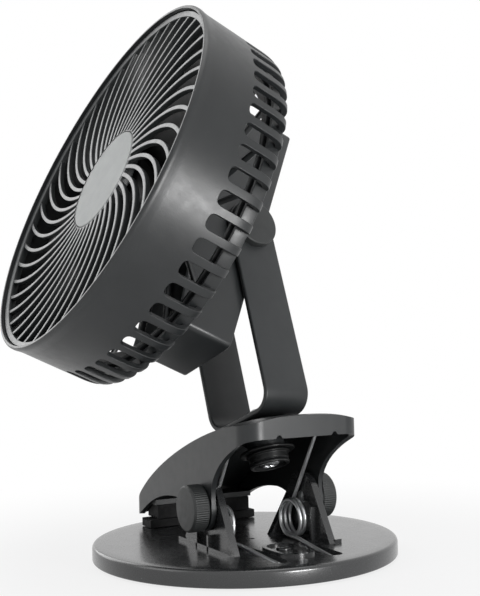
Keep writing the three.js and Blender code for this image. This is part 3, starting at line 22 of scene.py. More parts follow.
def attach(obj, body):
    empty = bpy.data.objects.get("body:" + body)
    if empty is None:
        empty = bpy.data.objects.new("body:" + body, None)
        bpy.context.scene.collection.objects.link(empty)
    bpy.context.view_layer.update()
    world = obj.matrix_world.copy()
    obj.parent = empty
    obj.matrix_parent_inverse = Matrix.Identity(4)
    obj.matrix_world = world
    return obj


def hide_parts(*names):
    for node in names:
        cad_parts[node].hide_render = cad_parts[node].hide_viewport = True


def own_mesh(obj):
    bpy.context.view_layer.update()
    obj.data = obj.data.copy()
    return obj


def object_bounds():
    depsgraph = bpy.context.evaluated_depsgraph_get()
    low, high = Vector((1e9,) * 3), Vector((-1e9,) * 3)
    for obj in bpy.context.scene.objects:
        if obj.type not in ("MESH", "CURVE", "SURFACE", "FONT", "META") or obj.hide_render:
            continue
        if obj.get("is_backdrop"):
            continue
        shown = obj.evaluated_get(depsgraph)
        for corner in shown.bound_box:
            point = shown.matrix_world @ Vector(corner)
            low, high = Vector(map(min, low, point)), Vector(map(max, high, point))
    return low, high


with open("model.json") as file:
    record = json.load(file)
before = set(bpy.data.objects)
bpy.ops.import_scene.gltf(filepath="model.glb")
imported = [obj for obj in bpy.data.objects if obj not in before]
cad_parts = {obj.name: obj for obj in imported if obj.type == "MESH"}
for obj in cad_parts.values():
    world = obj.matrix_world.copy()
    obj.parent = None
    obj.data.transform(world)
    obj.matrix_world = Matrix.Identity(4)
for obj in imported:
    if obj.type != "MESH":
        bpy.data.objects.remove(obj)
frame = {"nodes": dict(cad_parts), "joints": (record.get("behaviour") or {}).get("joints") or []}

log = logging.getLogger("clip_fan")

MM = 0.001
TURN = 2 * math.pi


# ---- Local frames ----
@dataclass(frozen=True)
class Axes:
    """A local frame: its origin in metres and its three unit axes as rows, in the row frame."""

    origin: np.ndarray
    rows: np.ndarray

    def place(self, points: np.ndarray) -> np.ndarray:
        """Row-frame metres of local millimetres: origin + x * first row + y * second + z * third.

        Args:
            points: local points, one per row, in millimetres.

        Returns:
            The same points in metres in the row frame.
        """
        return self.origin + points * MM @ self.rows


def unit(vector: np.ndarray) -> np.ndarray:
    """The vector or vectors divided by their length."""
    vector = np.asarray(vector, float)
    return vector / np.linalg.norm(vector, axis=-1, keepdims=True)


def joint(name: str) -> dict:
    """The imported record's joint of that name."""
    return next(j for j in frame["joints"] if j["name"] == name)


def fan_axes() -> dict[str, Axes]:
    """The local frames that follow from the record's joints.

    Returns:
        base: the row frame. hinge: at the clip's hinge, unturned. swivel: z along the swivel axis,
        y along the hinge. yoke: x from arm to arm, y up the arms. head: x along the tilt axis, y up
        the rear box, z out of the grille.
    """
    hinge, swivel = joint("clip_hinge"), joint("yoke_swivel")
    tilt, spin = joint("head_tilt"), joint("impeller_spin")
    up = unit(swivel["axis"])
    across = unit(hinge["axis"])
    wide = unit(tilt["axis"])
    wide = wide * np.sign(wide[0])
    front = unit(spin["axis"])
    front = front * -np.sign(front[1])
    foot = np.array(swivel["pos_m"], float)
    return {
        "base": Axes(np.zeros(3), np.eye(3)),
        "hinge": Axes(np.array(hinge["pos_m"], float), np.eye(3)),
        "swivel": Axes(foot, np.array([np.cross(across, up), across, up])),
        "yoke": Axes(foot, np.array([wide, up, np.cross(wide, up)])),
        "head": Axes(np.array(tilt["pos_m"], float), np.array([wide, np.cross(front, wide), front])),
    }


AXES = fan_axes()


# ---- Shapes: points in millimetres and faces as arrays of corner numbers ----
@dataclass
class Shape:
    """Points and faces of a mesh; each array of faces has one number of corners."""

    points: np.ndarray
    faces: list[np.ndarray]

    def moved(self, x: float = 0, y: float = 0, z: float = 0) -> "Shape":
        """The shape shifted by an offset."""
        return Shape(self.points + np.array([x, y, z]), self.faces)

    def bent(self, rule: Callable[[np.ndarray], np.ndarray]) -> "Shape":
        """The shape with each point replaced by rule(points)."""
        return Shape(rule(self.points), self.faces)

    def turned(self, rows: np.ndarray) -> "Shape":
        """The shape with x, y and z laid along the three rows."""
        return Shape(self.points @ np.asarray(rows, float), self.faces)


def joined(*shapes: Shape) -> Shape:
    """One shape that holds all the given ones, each still whole.

    Args:
        shapes: the shapes to hold together.

    Returns:
        Their points and faces in one shape.
    """
    starts = np.cumsum([0] + [len(s.points) for s in shapes[:-1]])
    faces = [f + start for s, start in zip(shapes, starts) for f in s.faces]
    return Shape(np.concatenate([s.points for s in shapes]), faces)


def round_z(points: np.ndarray, angle: np.ndarray) -> np.ndarray:
    """Points turned about z: x' = x cos a - y sin a, y' = x sin a + y cos a."""
    x, y, z = points[..., 0], points[..., 1], points[..., 2]
    return np.stack(
        [x * np.cos(angle) - y * np.sin(angle), x * np.sin(angle) + y * np.cos(angle), z + 0 * angle], -1
    )


def around(shape: Shape, count: int, start: float = 0.0) -> Shape:
    """Copies of a shape at equal turns about z.

    Args:
        shape: one sector.
        count: how many copies fill the turn.
        start: angle of the first copy, in degrees.

    Returns:
        All the copies as one shape.
    """
    angles = math.radians(start) + np.arange(count) * TURN / count
    points = round_z(shape.points[None], angles[:, None])
    offsets = (np.arange(count) * len(shape.points))[:, None, None]
    faces = [(f[None] + offsets).reshape(-1, f.shape[1]) for f in shape.faces]
    return Shape(points.reshape(-1, 3), faces)


def grid_faces(rows: int, columns: int, ring_rows: bool = False, ring_columns: bool = False) -> np.ndarray:
    """Four-cornered faces of a grid of points in reading order.

    Args:
        rows: number of rows of points.
        columns: number of points in a row.
        ring_rows: the last row meets the first.
        ring_columns: the last point of a row meets its first.

    Returns:
        Corner numbers, four to a face.
    """
    r = np.arange(rows if ring_rows else rows - 1)[:, None]
    c = np.arange(columns if ring_columns else columns - 1)[None, :]
    below, beside = (r + 1) % rows, (c + 1) % columns
    corners = [r * columns + c, r * columns + beside, below * columns + beside, below * columns + c]
    return np.stack([k + 0 * (r + c) for k in corners], -1).reshape(-1, 4)


def arc(centre: tuple[float, float], radius: float, first: float, last: float, steps: int) -> np.ndarray:
    """Points of an arc: centre + radius (cos a, sin a), with a from first to last in degrees."""
    a = np.radians(np.linspace(first, last, steps + 1))
    return np.stack([centre[0] + radius * np.cos(a), centre[1] + radius * np.sin(a)], 1)


def bezier(controls: np.ndarray, steps: int) -> np.ndarray:
    """Points of a Bezier curve: the sum of its controls weighted by Bernstein's polynomials.

    Args:
        controls: control points, one per row.
        steps: pieces of the curve.

    Returns:
        The points from the first control to the last.
    """
    controls = np.asarray(controls, float)
    t = np.linspace(0, 1, steps + 1)[:, None]
    k = np.arange(len(controls))
    weights = np.array([math.comb(len(k) - 1, i) for i in k]) * t**k * (1 - t) ** k[::-1]
    return weights @ controls


def softened(corners: list, radius: float | list[float], steps: int = 4, closed: bool = True) -> np.ndarray:
    """Polygon with an arc in place of each corner.

    With unit directions p back and q onward and the half angle h between them, the arc's centre is
    corner + (p + q) / |p + q| * r / sin h, and it leaves the sides at r / tan h from the corner.

    Args:
        corners: the polygon's corners, in two coordinates.
        radius: one radius, or one for each corner; 0 keeps it sharp.
        steps: pieces of each arc.
        closed: whether the last corner meets the first; the ends of an open line stay sharp.

    Returns:
        The points of the softened outline.
    """
    points = np.asarray(corners, float)
    r = np.broadcast_to(np.asarray(radius, float), len(points)).copy()
    if not closed:
        r[[0, -1]] = 0
    back, onward = np.roll(points, 1, 0) - points, np.roll(points, -1, 0) - points
    p = back / np.maximum(np.linalg.norm(back, axis=1), 1e-9)[:, None]
    q = onward / np.maximum(np.linalg.norm(onward, axis=1), 1e-9)[:, None]
    half = np.arccos(np.clip((p * q).sum(1), -1, 1)) / 2
    straight = half > math.pi / 2 - 1e-3
    r[straight] = 0
    half = np.where(straight | (half < 1e-3), math.pi / 4, half)
    middle = p + q
    middle = middle / np.maximum(np.linalg.norm(middle, axis=1), 1e-9)[:, None]
    centre = points + middle * (r / np.sin(half))[:, None]
    first = points + p * (r / np.tan(half))[:, None] - centre
    last = points + q * (r / np.tan(half))[:, None] - centre
    sweep_angle = math.pi - 2 * half
    t = np.linspace(0, 1, steps + 1)[None, :, None]
    full = sweep_angle[:, None, None]
    blend = (np.sin((1 - t) * full) * first[:, None] + np.sin(t * full) * last[:, None]) / np.sin(full)
    outline = (centre[:, None] + blend).reshape(-1, 2)
    keep = np.linalg.norm(outline - np.roll(outline, 1, 0), axis=1) > 1e-5
    if not closed:
        keep[0] = True
    return outline[keep]


def turned_profile(profile: np.ndarray, sides: int = 64, closed: bool = False) -> Shape:
    """Body of revolution about z: (r cos a, r sin a, z) for each profile point and angle a.

    Args:
        profile: points (r, z); an open profile starts and ends on the axis or is left open.
        sides: number of angles.
        closed: whether the profile is a ring that doesn't touch the axis.

    Returns:
        The surface; points on the axis fall together and are merged when the mesh is made.
    """
    profile = np.asarray(profile, float)
    a = np.arange(sides) * TURN / sides
    r, z = profile[:, :1], profile[:, 1:]
    points = np.stack([r * np.cos(a), r * np.sin(a), z + 0 * a], -1).reshape(-1, 3)
    return Shape(points, [grid_faces(len(profile), sides, ring_rows=closed, ring_columns=True)])


def lathed(
    corners: list, radius: float | list[float], sides: int = 64, closed: bool = False, steps: int = 3
) -> Shape:
    """Body of revolution whose profile's corners are softened first."""
    return turned_profile(softened(corners, radius, steps, closed), sides, closed)


def washer(inner: float, outer: float, low: float, high: float, edge: float = 0.3, sides: int = 64) -> Shape:
    """Flat ring about z with softened edges."""
    return lathed([[inner, low], [outer, low], [outer, high], [inner, high]], edge, sides, closed=True)


def extruded(outline: np.ndarray, low: float, high: float) -> Shape:
    """Outline in x and y, thickened along z, with a whole face at each end.

    Args:
        outline: points (x, y).
        low: z of the lower face.
        high: z of the upper face.

    Returns:
        The closed bar.
    """
    n = len(outline)
    ends = [np.column_stack([outline, np.full(n, z)]) for z in (low, high)]
    loop = np.arange(n)
    onward = (loop + 1) % n
    walls = np.stack([loop, onward, onward + n, loop + n], 1)
    return Shape(np.concatenate(ends), [walls, loop[::-1][None], (loop + n)[None]])


def pierced(loops: list[np.ndarray], low: float, high: float) -> Shape:
    """Plate with holes: the first loop is its outline, the others its holes, thickened along z.

    Args:
        loops: the outline, then each hole.
        low: z of the lower face.
        high: z of the upper face.

    Returns:
        The closed plate.
    """
    flat = np.concatenate(loops)
    corners = [[Vector((x, y, 0)) for x, y in loop.tolist()] for loop in loops]
    tris = np.array(tessellate_polygon(corners), int)
    area = np.cross(flat[tris[:, 1]] - flat[tris[:, 0]], flat[tris[:, 2]] - flat[tris[:, 0]])
    tris = np.where((area < 0)[:, None], tris[:, ::-1], tris)[np.abs(area) > 1e-9]
    n = len(flat)
    starts = np.cumsum([0] + [len(loop) for loop in loops[:-1]])
    walls = []
    for start, loop in zip(starts, loops):
        here = start + np.arange(len(loop))
        onward = start + (np.arange(len(loop)) + 1) % len(loop)
        walls.append(np.stack([here, onward, onward + n, here + n], 1))
    points = np.concatenate([np.column_stack([flat, np.full(n, z)]) for z in (low, high)])
    return Shape(points, walls + [tris[:, ::-1], tris + n])


def carried(
    path: np.ndarray, profile: np.ndarray, reference: np.ndarray, share: np.ndarray | None = None
) -> Shape:
    """Profile carried along a path and closed at both ends.

    At each path point with unit tangent t, the profile's second axis b is the reference less its
    part along t, its first axis is t x b, and the ring is point + share (u (t x b) + v b).

    Args:
        path: points along the middle line.
        profile: closed outline (u, v).
        reference: direction that the second axis keeps to.
        share: size of the profile at each path point, 1 where it isn't given.

    Returns:
        The closed tube or bar.
    """
    along = unit(np.gradient(path, axis=0))
    reference = np.broadcast_to(np.asarray(reference, float), path.shape)
    second = unit(reference - (reference * along).sum(1, keepdims=True) * along)
    first = np.cross(along, second)
    share = np.ones(len(path)) if share is None else share
    u, v = profile[:, 0], profile[:, 1]
    rings = path[:, None] + share[:, None, None] * (
        u[None, :, None] * first[:, None] + v[None, :, None] * second[:, None]
    )
    n, m = len(path), len(profile)
    ends = [np.arange(m)[None, ::-1], (np.arange(m) + (n - 1) * m)[None]]
    return Shape(rings.reshape(-1, 3), [grid_faces(n, m, ring_columns=True)] + ends)


def thickened(outer: np.ndarray, inner: np.ndarray, quads: np.ndarray) -> Shape:
    """Closed wall between two sheets that have the same faces.

    The inner sheet's faces are turned over, and each edge that only one face uses gets a strip
    between the sheets.

    Args:
        outer: points of the outer sheet.
        inner: points of the inner sheet, in the same order.
        quads: the sheet's faces, seen from outside.

    Returns:
        The closed wall.
    """
    edges = np.concatenate([quads[:, [k, (k + 1) % 4]] for k in range(4)])
    _, index, counts = np.unique(np.sort(edges, 1), axis=0, return_index=True, return_counts=True)
    rim = edges[index[counts == 1]]
    n = len(outer)
    strip = np.stack([rim[:, 1], rim[:, 0], rim[:, 0] + n, rim[:, 1] + n], 1)
    return Shape(np.concatenate([outer, inner]), [quads, quads[:, ::-1] + n, strip])


def welded(points: np.ndarray, quads: np.ndarray) -> tuple[np.ndarray, np.ndarray]:
    """Points that fall together made one, and faces that lost a corner dropped.

    Args:
        points: places, one per row.
        quads: corner numbers, four to a face.

    Returns:
        The first place of each kept point in the old list, and the faces in the new numbers.
    """
    _, first, back = np.unique(np.round(points, 4), axis=0, return_index=True, return_inverse=True)
    quads = back.reshape(-1)[quads]
    whole = np.array([len(set(q)) == 4 for q in quads.tolist()])
    return first, quads[whole]


# ---- Finishes ----
class Texture(Enum):
    """How the fine detail of a finish lies: its stretch along x, y and z."""

    GRAIN = (1.0, 1.0, 1.0)
    DRAWN = (1.0, 1.0, 6.0)
    TURNED = (0.35, 4.0, 0.35)


def linear(code: int) -> tuple[float, float, float, float]:
    """Colour value of a written colour such as 0x3A3C3C.

    Args:
        code: red, green and blue, a byte each.

    Returns:
        Red, green, blue and alpha for a shader.
    """
    parts = np.array([(code >> 16) & 255, (code >> 8) & 255, code & 255]) / 255
    value = np.where(parts <= 0.04045, parts / 12.92, ((parts + 0.055) / 1.055) ** 2.4)
    return (*value.tolist(), 1.0)


@dataclass(frozen=True)
class Finish:
    """A finish with grain, uneven gloss, faint wear and a little dust.

    The colour swings between two tones with a broad noise, the gloss with a middle one, and a fine
    noise gives the relief. Wear is a stretched noise above a threshold.
    """

    name: str
    dark: int
    light: int
    gloss: tuple[float, float]
    metal: float = 0.0
    grain: float = 0.35
    relief: float = 0.02
    patch: float = 22.0
    wear: float = 0.35
    texture: Texture = Texture.GRAIN
    clear: float = 0.0
    coat: float = 0.0
    sheen: float = 0.5

    def material(self) -> bpy.types.Material:
        """The finish's material, made once.

        Returns:
            The material of that title, the same one at each call.
        """
        title = f"finish_{self.name}"
        known = bpy.data.materials.get(title)
        if known is not None:
            return known
        made = bpy.data.materials.new(title)
        made.use_nodes = True
        nodes, links = made.node_tree.nodes, made.node_tree.links
        shader = nodes["Principled BSDF"]
        place = nodes.new("ShaderNodeTexCoord").outputs["Object"]
        stretch = nodes.new("ShaderNodeMapping")
        stretch.inputs["Scale"].default_value = self.texture.value
        links.new(place, stretch.inputs["Vector"])

        def noise(size: float, detail: float, source: bpy.types.NodeSocket) -> bpy.types.NodeSocket:
            """Noise whose features are about size millimetres across.

            Args:
                size: millimetres across a feature.
                detail: how many finer layers it has.
                source: the place that it reads.

            Returns:
                The noise's value.
            """
            node = nodes.new("ShaderNodeTexNoise")
            node.inputs["Scale"].default_value = 1 / (size * MM)
            node.inputs["Detail"].default_value = detail
            links.new(source, node.inputs["Vector"])
            return node.outputs["Fac"]

        def spread(
            value: bpy.types.NodeSocket, near: float, far: float, low: float, high: float
        ) -> bpy.types.NodeSocket:
            """Value between near and far stretched to low and high, and held there.

            Args:
                value: the socket to stretch.
                near: its value that becomes low.
                far: its value that becomes high.
                low: least result.
                high: greatest result.

            Returns:
                The socket with the result.
            """
            node = nodes.new("ShaderNodeMapRange")
            node.inputs["From Min"].default_value = near
            node.inputs["From Max"].default_value = far
            node.inputs["To Min"].default_value = low
            node.inputs["To Max"].default_value = high
            links.new(value, node.inputs["Value"])
            return node.outputs["Result"]

        fine = noise(self.grain, 3.0, stretch.outputs["Vector"])
        middle = noise(self.patch * 0.22, 4.0, stretch.outputs["Vector"])
        broad = noise(self.patch, 3.0, place)

        tone = nodes.new("ShaderNodeMix")
        tone.data_type = "RGBA"
        tone.inputs["A"].default_value = linear(self.dark)
        tone.inputs["B"].default_value = linear(self.light)
        links.new(spread(broad, 0.3, 0.7, 0.0, 1.0), tone.inputs["Factor"])

        rubbed = spread(middle, 0.62, 0.78, 0.0, self.wear)
        worn = nodes.new("ShaderNodeMix")
        worn.data_type = "RGBA"
        worn.blend_type = "SCREEN"
        worn.inputs["B"].default_value = linear(0x101010 if self.metal < 0.5 else 0x0C0C0C)
        links.new(tone.outputs["Result"], worn.inputs["A"])
        links.new(rubbed, worn.inputs["Factor"])
        links.new(worn.outputs["Result"], shader.inputs["Base Color"])

        low, high = self.gloss
        uneven = spread(middle, 0.3, 0.7, low, high)
        speck = nodes.new("ShaderNodeMath")
        speck.operation = "MULTIPLY_ADD"
        speck.inputs[1].default_value = 0.12
        links.new(fine, speck.inputs[0])
        links.new(uneven, speck.inputs[2])
        links.new(speck.outputs["Value"], shader.inputs["Roughness"])

        bump = nodes.new("ShaderNodeBump")
        bump.inputs["Strength"].default_value = 0.5
        bump.inputs["Distance"].default_value = self.relief * MM
        links.new(fine, bump.inputs["Height"])
        links.new(bump.outputs["Normal"], shader.inputs["Normal"])

        shader.inputs["Metallic"].default_value = self.metal
        shader.inputs["Specular IOR Level"].default_value = self.sheen
        shader.inputs["Transmission Weight"].default_value = self.clear
        shader.inputs["Coat Weight"].default_value = self.coat
        shader.inputs["Coat Roughness"].default_value = 0.12
        return made


@dataclass(frozen=True)
class Finishes:
    """Every finish of the fan."""

    housing: Finish = Finish(
        "housing_plastic", 0x1E2021, 0x242627, (0.27, 0.33), grain=0.42, relief=0.05, sheen=0.46
    )
    base: Finish = Finish(
        "base_plastic", 0x1E1F20, 0x252627, (0.19, 0.22), grain=0.5, relief=0.015, patch=34, coat=0.35,
        sheen=0.6, wear=0.15,
    )
    lever: Finish = Finish(
        "lever_plastic", 0x1E2021, 0x242627, (0.27, 0.34), grain=0.4, relief=0.04, sheen=0.42
    )
    knob: Finish = Finish("knob_plastic", 0x1F2121, 0x262828, (0.42, 0.52), grain=0.4, relief=0.04, patch=14)
    dark: Finish = Finish("dark_plastic", 0x0C0D0D, 0x121314, (0.24, 0.34), grain=0.5, patch=16, sheen=0.4)
    black: Finish = Finish("black_plastic", 0x050505, 0x090909, (0.30, 0.40), grain=0.5, patch=16, sheen=0.3)
    ribs: Finish = Finish("rib_plastic", 0x2E3132, 0x363939, (0.27, 0.33), grain=0.3, patch=16, sheen=0.6)
    silver: Finish = Finish(
        "hub_silver", 0x7E8180, 0x858887, (0.42, 0.48), metal=0.2, grain=0.25, relief=0.012, wear=0.12
    )
    painted: Finish = Finish(
        "painted_steel", 0x262829, 0x2D2F30, (0.34, 0.42), grain=0.7, relief=0.05, patch=18, sheen=0.38
    )
    rubber: Finish = Finish(
        "black_rubber", 0x0A0A0B, 0x111112, (0.62, 0.80), grain=0.45, relief=0.06, patch=9, wear=0.5,
        sheen=0.3,
    )
    steel: Finish = Finish(
        "bright_steel", 0xCBCDCE, 0xE2E3E4, (0.22, 0.34), metal=0.9, grain=0.3, relief=0.008, patch=6,
        texture=Texture.DRAWN, wear=0.2,
    )
    turned_steel: Finish = Finish(
        "turned_steel", 0xC6C8C9, 0xDDDEDF, (0.18, 0.28), metal=0.95, grain=0.25, relief=0.008, patch=5,
        texture=Texture.TURNED, wear=0.2,
    )
    wrap: Finish = Finish(
        "cell_wrap", 0x1F5E7C, 0x2B6F92, (0.28, 0.36), grain=0.8, relief=0.01, patch=18, coat=0.3
    )
    board: Finish = Finish(
        "circuit_board", 0x123F28, 0x1C5939, (0.34, 0.46), grain=0.7, patch=4, coat=0.2, wear=0.8
    )
    lens: Finish = Finish("clear_lens", 0xD6EEE2, 0xE2F6EC, (0.05, 0.12), clear=0.8, relief=0.002, wear=0.1)


FINISH = Finishes()


# ---- Making and handing over the pieces ----
@dataclass(frozen=True)
class Edge:
    """How a piece's edges are broken: width and steps of the bevel, and the least angle it takes."""

    width: float = 0.0
    steps: int = 2
    angle: float = 38.0


def mesh_object(name: str, points: np.ndarray, faces: list[np.ndarray]) -> bpy.types.Object:
    """A mesh object at the origin from whole arrays.

    Args:
        name: name of the object and its mesh.
        points: places in metres in the row frame.
        faces: arrays of corner numbers.

    Returns:
        The linked object, with points that fall together merged and faces outwards.
    """
    mesh = bpy.data.meshes.new(name)
    corners = np.concatenate([f.ravel() for f in faces])
    counts = np.concatenate([np.full(len(f), f.shape[1]) for f in faces])
    mesh.vertices.add(len(points))
    mesh.vertices.foreach_set("co", points.astype(np.float32).ravel())
    mesh.loops.add(len(corners))
    mesh.loops.foreach_set("vertex_index", corners.astype(np.int32))
    mesh.polygons.add(len(counts))
    mesh.polygons.foreach_set("loop_start", np.concatenate([[0], np.cumsum(counts)[:-1]]).astype(np.int32))
    mesh.update(calc_edges=True)
    mesh.validate()
    work = bmesh.new()
    work.from_mesh(mesh)
    bmesh.ops.remove_doubles(work, verts=work.verts, dist=2e-6)
    bmesh.ops.dissolve_degenerate(work, edges=work.edges, dist=1e-7)
    bmesh.ops.recalc_face_normals(work, faces=work.faces)
    work.to_mesh(mesh)
    work.free()
    made = bpy.data.objects.new(name, mesh)
    bpy.context.scene.collection.objects.link(made)
    return made


@dataclass
class Assembly:
    """A group of pieces that share a CAD body and a local frame."""

    body: str
    axes: Axes
    made: list[str] = field(default_factory=list)

    def add(
        self,
        name: str,
        shape: Shape,
        finish: Finish,
        slot: str,
        replaces: tuple[str, ...] = (),
        edge: Edge = Edge(),
        axes: Axes | None = None,
    ) -> bpy.types.Object:
        """Makes a piece, shades it, lets it ride on the body and hides what it stands for.

        Args:
            name: the piece's name.
            shape: its points and faces in the local frame, in millimetres.
            finish: its finish.
            slot: the record's material slot; not used.
            replaces: CAD nodes that it stands for.
            edge: how its edges are broken.
            axes: its local frame, where it isn't the assembly's own.

        Returns:
            The finished object.
        """
        points = (axes or self.axes).place(shape.points)
        made = mesh_object(name, points, shape.faces)
        made.data.shade_smooth()
        made.data.set_sharp_from_angle(angle=math.radians(edge.angle))
        if edge.width > 0:
            bevel = made.modifiers.new("edges", "BEVEL")
            bevel.width = edge.width * MM
            bevel.segments = edge.steps
            bevel.limit_method = "ANGLE"
            bevel.angle_limit = math.radians(edge.angle)
            bevel.use_clamp_overlap = True
            bevel.harden_normals = True
            bevel.miter_outer = "MITER_ARC"
        made.data.materials.append(finish.material())
        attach(made, self.body)
        if replaces:
            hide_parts(*replaces)
        self.made.append(name)
        log.info("%s: %d points on %s", name, len(made.data.vertices), self.body)
        return made

    def dress(self, node: str, finish: Finish) -> None:
        """Gives a CAD node that stays shown a better material, and leaves its mesh alone.

        Args:
            node: the CAD node's name.
            finish: its new finish.
        """
        shown = frame["nodes"][node]
        for place in shown.material_slots:
            place.link = "OBJECT"
            place.material = finish.material()
        log.info("%s: dressed as %s", node, finish.name)


def circle(radius: float, sides: int = 16, x: float = 0.0, y: float = 0.0) -> np.ndarray:
    """Points of a circle, without the first one twice."""
    return arc((x, y), radius, 0, 360, sides)[:-1]


def rounded_bar(width: float, height: float, round_edge: float, steps: int = 3) -> np.ndarray:
    """Rectangle about the origin with rounded corners."""
    u, v = width / 2, height / 2
    return softened([[-u, -v], [u, -v], [u, v], [-u, v]], min(round_edge, u * 0.98, v * 0.98), steps)


# Rows for shapes drawn in x and z (thickness along y) and in y and z (thickness along x).
IN_XZ = np.array([[1, 0, 0], [0, 0, 1], [0, -1, 0]])
IN_YZ = np.array([[0, 1, 0], [0, 0, 1], [1, 0, 0]])


def mirrored(outline: np.ndarray, side: int) -> np.ndarray:
    """Outline with its first axis turned over for the left side, still in the same sense."""
    return outline if side > 0 else (outline * np.array([-1, 1]))[::-1]


# ---- Base ----
@dataclass
class Base(Assembly):
    """Round base with the clip's two ears, its foot pad and the lower jaw's rubber pad."""

    radius: float = 75.0
    top: float = 8.4
    wall: float = 2.2
    edge_round: float = 1.8
    lift: float = 0.6
    hinge_x: float = 14.6
    hinge_z: float = 27.5
    ear_inner: float = 24.0
    ear_thickness: float = 3.5
    ear_radius: float = 12.6
    pin_hole: float = 3.3
    slot_from: float = 27.0
    slot_to: float = 62.5
    slot_width: float = 7.5
    slot_y: float = 14.25
    foot_front: float = 25.6
    foot_back: float = -26.1

    def slot_loop(self, side: int) -> np.ndarray:
        """Long hole with round ends under one spring's lower leg.

        Args:
            side: 1 for the right one, -1 for the left one.

        Returns:
            The outline of the hole.
        """
        r, y = self.slot_width / 2, side * self.slot_y
        near = arc((self.slot_from + r, y), r, 90, 270, 10)
        far = arc((self.slot_to - r, y), r, -90, 90, 10)
        return np.concatenate([near, far])

    def disc(self) -> Shape:
        """Shallow dish: a pierced top plate within a turned rim.

        The rim's profile runs from the plate's underside down the inner wall, round the bottom
        edge, up the outside and over the rounded top edge.

        Returns:
            The rim with the faces of the plate that it holds.
        """
        sides = 160
        inner, seam = self.radius - self.wall, self.radius - 6
        under = self.top - self.wall
        rim = softened(
            [[seam, under], [inner, under], [inner, self.lift], [self.radius, self.lift],
             [self.radius, self.top], [seam, self.top]],
            [0, 0.8, 0.4, 0.8, self.edge_round, 0], 5, closed=False,
        )
        loops = [
            circle(seam, sides),
            circle(1.5, 16, x=7.0),
            self.slot_loop(1),
            self.slot_loop(-1),
        ]
        plate = pierced(loops, under, self.top)
        shown = [plate.faces[k] for k in range(1, len(plate.faces))]
        return joined(turned_profile(rim, sides), Shape(plate.points, shown))

    def oval(self) -> list[Shape]:
        """Raised oval ring with a sunk floor, between the springs' lower legs.

        Returns:
            The ring, and the post that stands in it.
        """
        outer = np.concatenate([arc((36.0, 0), 9.0, 90, 270, 16), arc((48.0, 0), 9.0, -90, 90, 16)])
        inner = np.concatenate([arc((36.0, 0), 7.0, 90, 270, 16), arc((48.0, 0), 7.0, -90, 90, 16)])
        line = softened([[0, 7.9], [3.4, 7.9], [3.4, 9.3], [0, 9.3]], 0.3, 2, closed=False)
        post = turned_profile(line, 28)
        return [pierced([outer, inner], self.top - 0.4, self.top + 1.2), post.moved(x=38.0)]

    def ear(self, side: int) -> Shape:
        """Ear plate with its foot flange, two outer ribs, the webbed gusset and the stop rib.

        Args:
            side: 1 for the right one, -1 for the left one.

        Returns:
            The ear with all that stands beside it.
        """
        near = side * self.ear_inner
        far = side * (self.ear_inner + self.ear_thickness)
        rise = self.hinge_z - self.top
        foot = -rise - 0.4

        def touch(foot_x: float, sign: int) -> float:
            """Angle where the line from the foot touches the ear's round top, in degrees."""
            away = math.hypot(foot_x, rise)
            return math.degrees(math.atan2(-rise, foot_x) + sign * math.acos(self.ear_radius / away))

        crown = arc((0, 0), self.ear_radius, touch(self.foot_front, 1), touch(self.foot_back, -1) + 360, 36)
        start = [[self.foot_back, foot], [self.foot_front, foot], [self.foot_front, -rise]]
        outline = np.concatenate([start, crown, [[self.foot_back, -rise]]])
        hole = circle(self.pin_hole, 24)
        plate = pierced([outline, hole], -max(near, far), -min(near, far)).turned(IN_XZ)
        parts = [plate.moved(self.hinge_x, 0, self.hinge_z)]
        out = side * (self.ear_inner + self.ear_thickness - 0.4)
        tip = side * (self.ear_inner + self.ear_thickness + 3.2)
        low = self.top - 0.4

        def block(x0: float, x1: float, y0: float, y1: float, z1: float) -> Shape:
            """Upright block that stands in the disc."""
            y0, y1 = min(y0, y1), max(y0, y1)
            return extruded(np.array([[x0, y0], [x1, y0], [x1, y1], [x0, y1]]), low, z1)

        first, last = self.hinge_x + self.foot_back, self.hinge_x + self.foot_front
        parts.append(block(first, last, out, tip, self.top + 1.8))
        for x in (self.hinge_x - 6, self.hinge_x + 6):
            parts.append(block(x - 0.8, x + 0.8, out, tip, self.top + 7))
        web = np.array([[12.0, 0], [24.4, 0], [24.4, 19.9], [23.4, 19.9]])
        gusset = extruded(mirrored(web, side), -1.8, 1.8).turned(IN_YZ)
        parts.append(gusset.moved(2.8, 0, low))
        parts.append(block(26.9, 28.5, side * 21.3, side * 24.4, self.top + 16))
        return joined(*parts)

    def grooved_pad(self, length: float, half_width: float, height: float, up: int) -> Shape:
        """Rubber pad about the origin with four grooves along y in one face.

        The outline in x and z steps down by the groove's depth at each fifth of the length.

        Args:
            length: size along x.
            half_width: half its size along y.
            height: size along z.
            up: 1 for grooves above, -1 for grooves below.

        Returns:
            The closed pad.
        """
        marks = length * (np.arange(1, 5) / 5 - 0.5)
        steps = np.stack([marks - 0.55, marks - 0.55, marks + 0.55, marks + 0.55], 1).ravel()
        depth = np.tile([0.0, 0.8, 0.8, 0.0], 4)
        face = np.column_stack([steps, up * (height / 2 - depth)])
        ends = np.array([[length / 2, up * height / 2], [length / 2, -up * height / 2],
                         [-length / 2, -up * height / 2], [-length / 2, up * height / 2]])
        outline = np.concatenate([face, ends])
        return extruded(outline, -half_width, half_width).turned(IN_XZ)

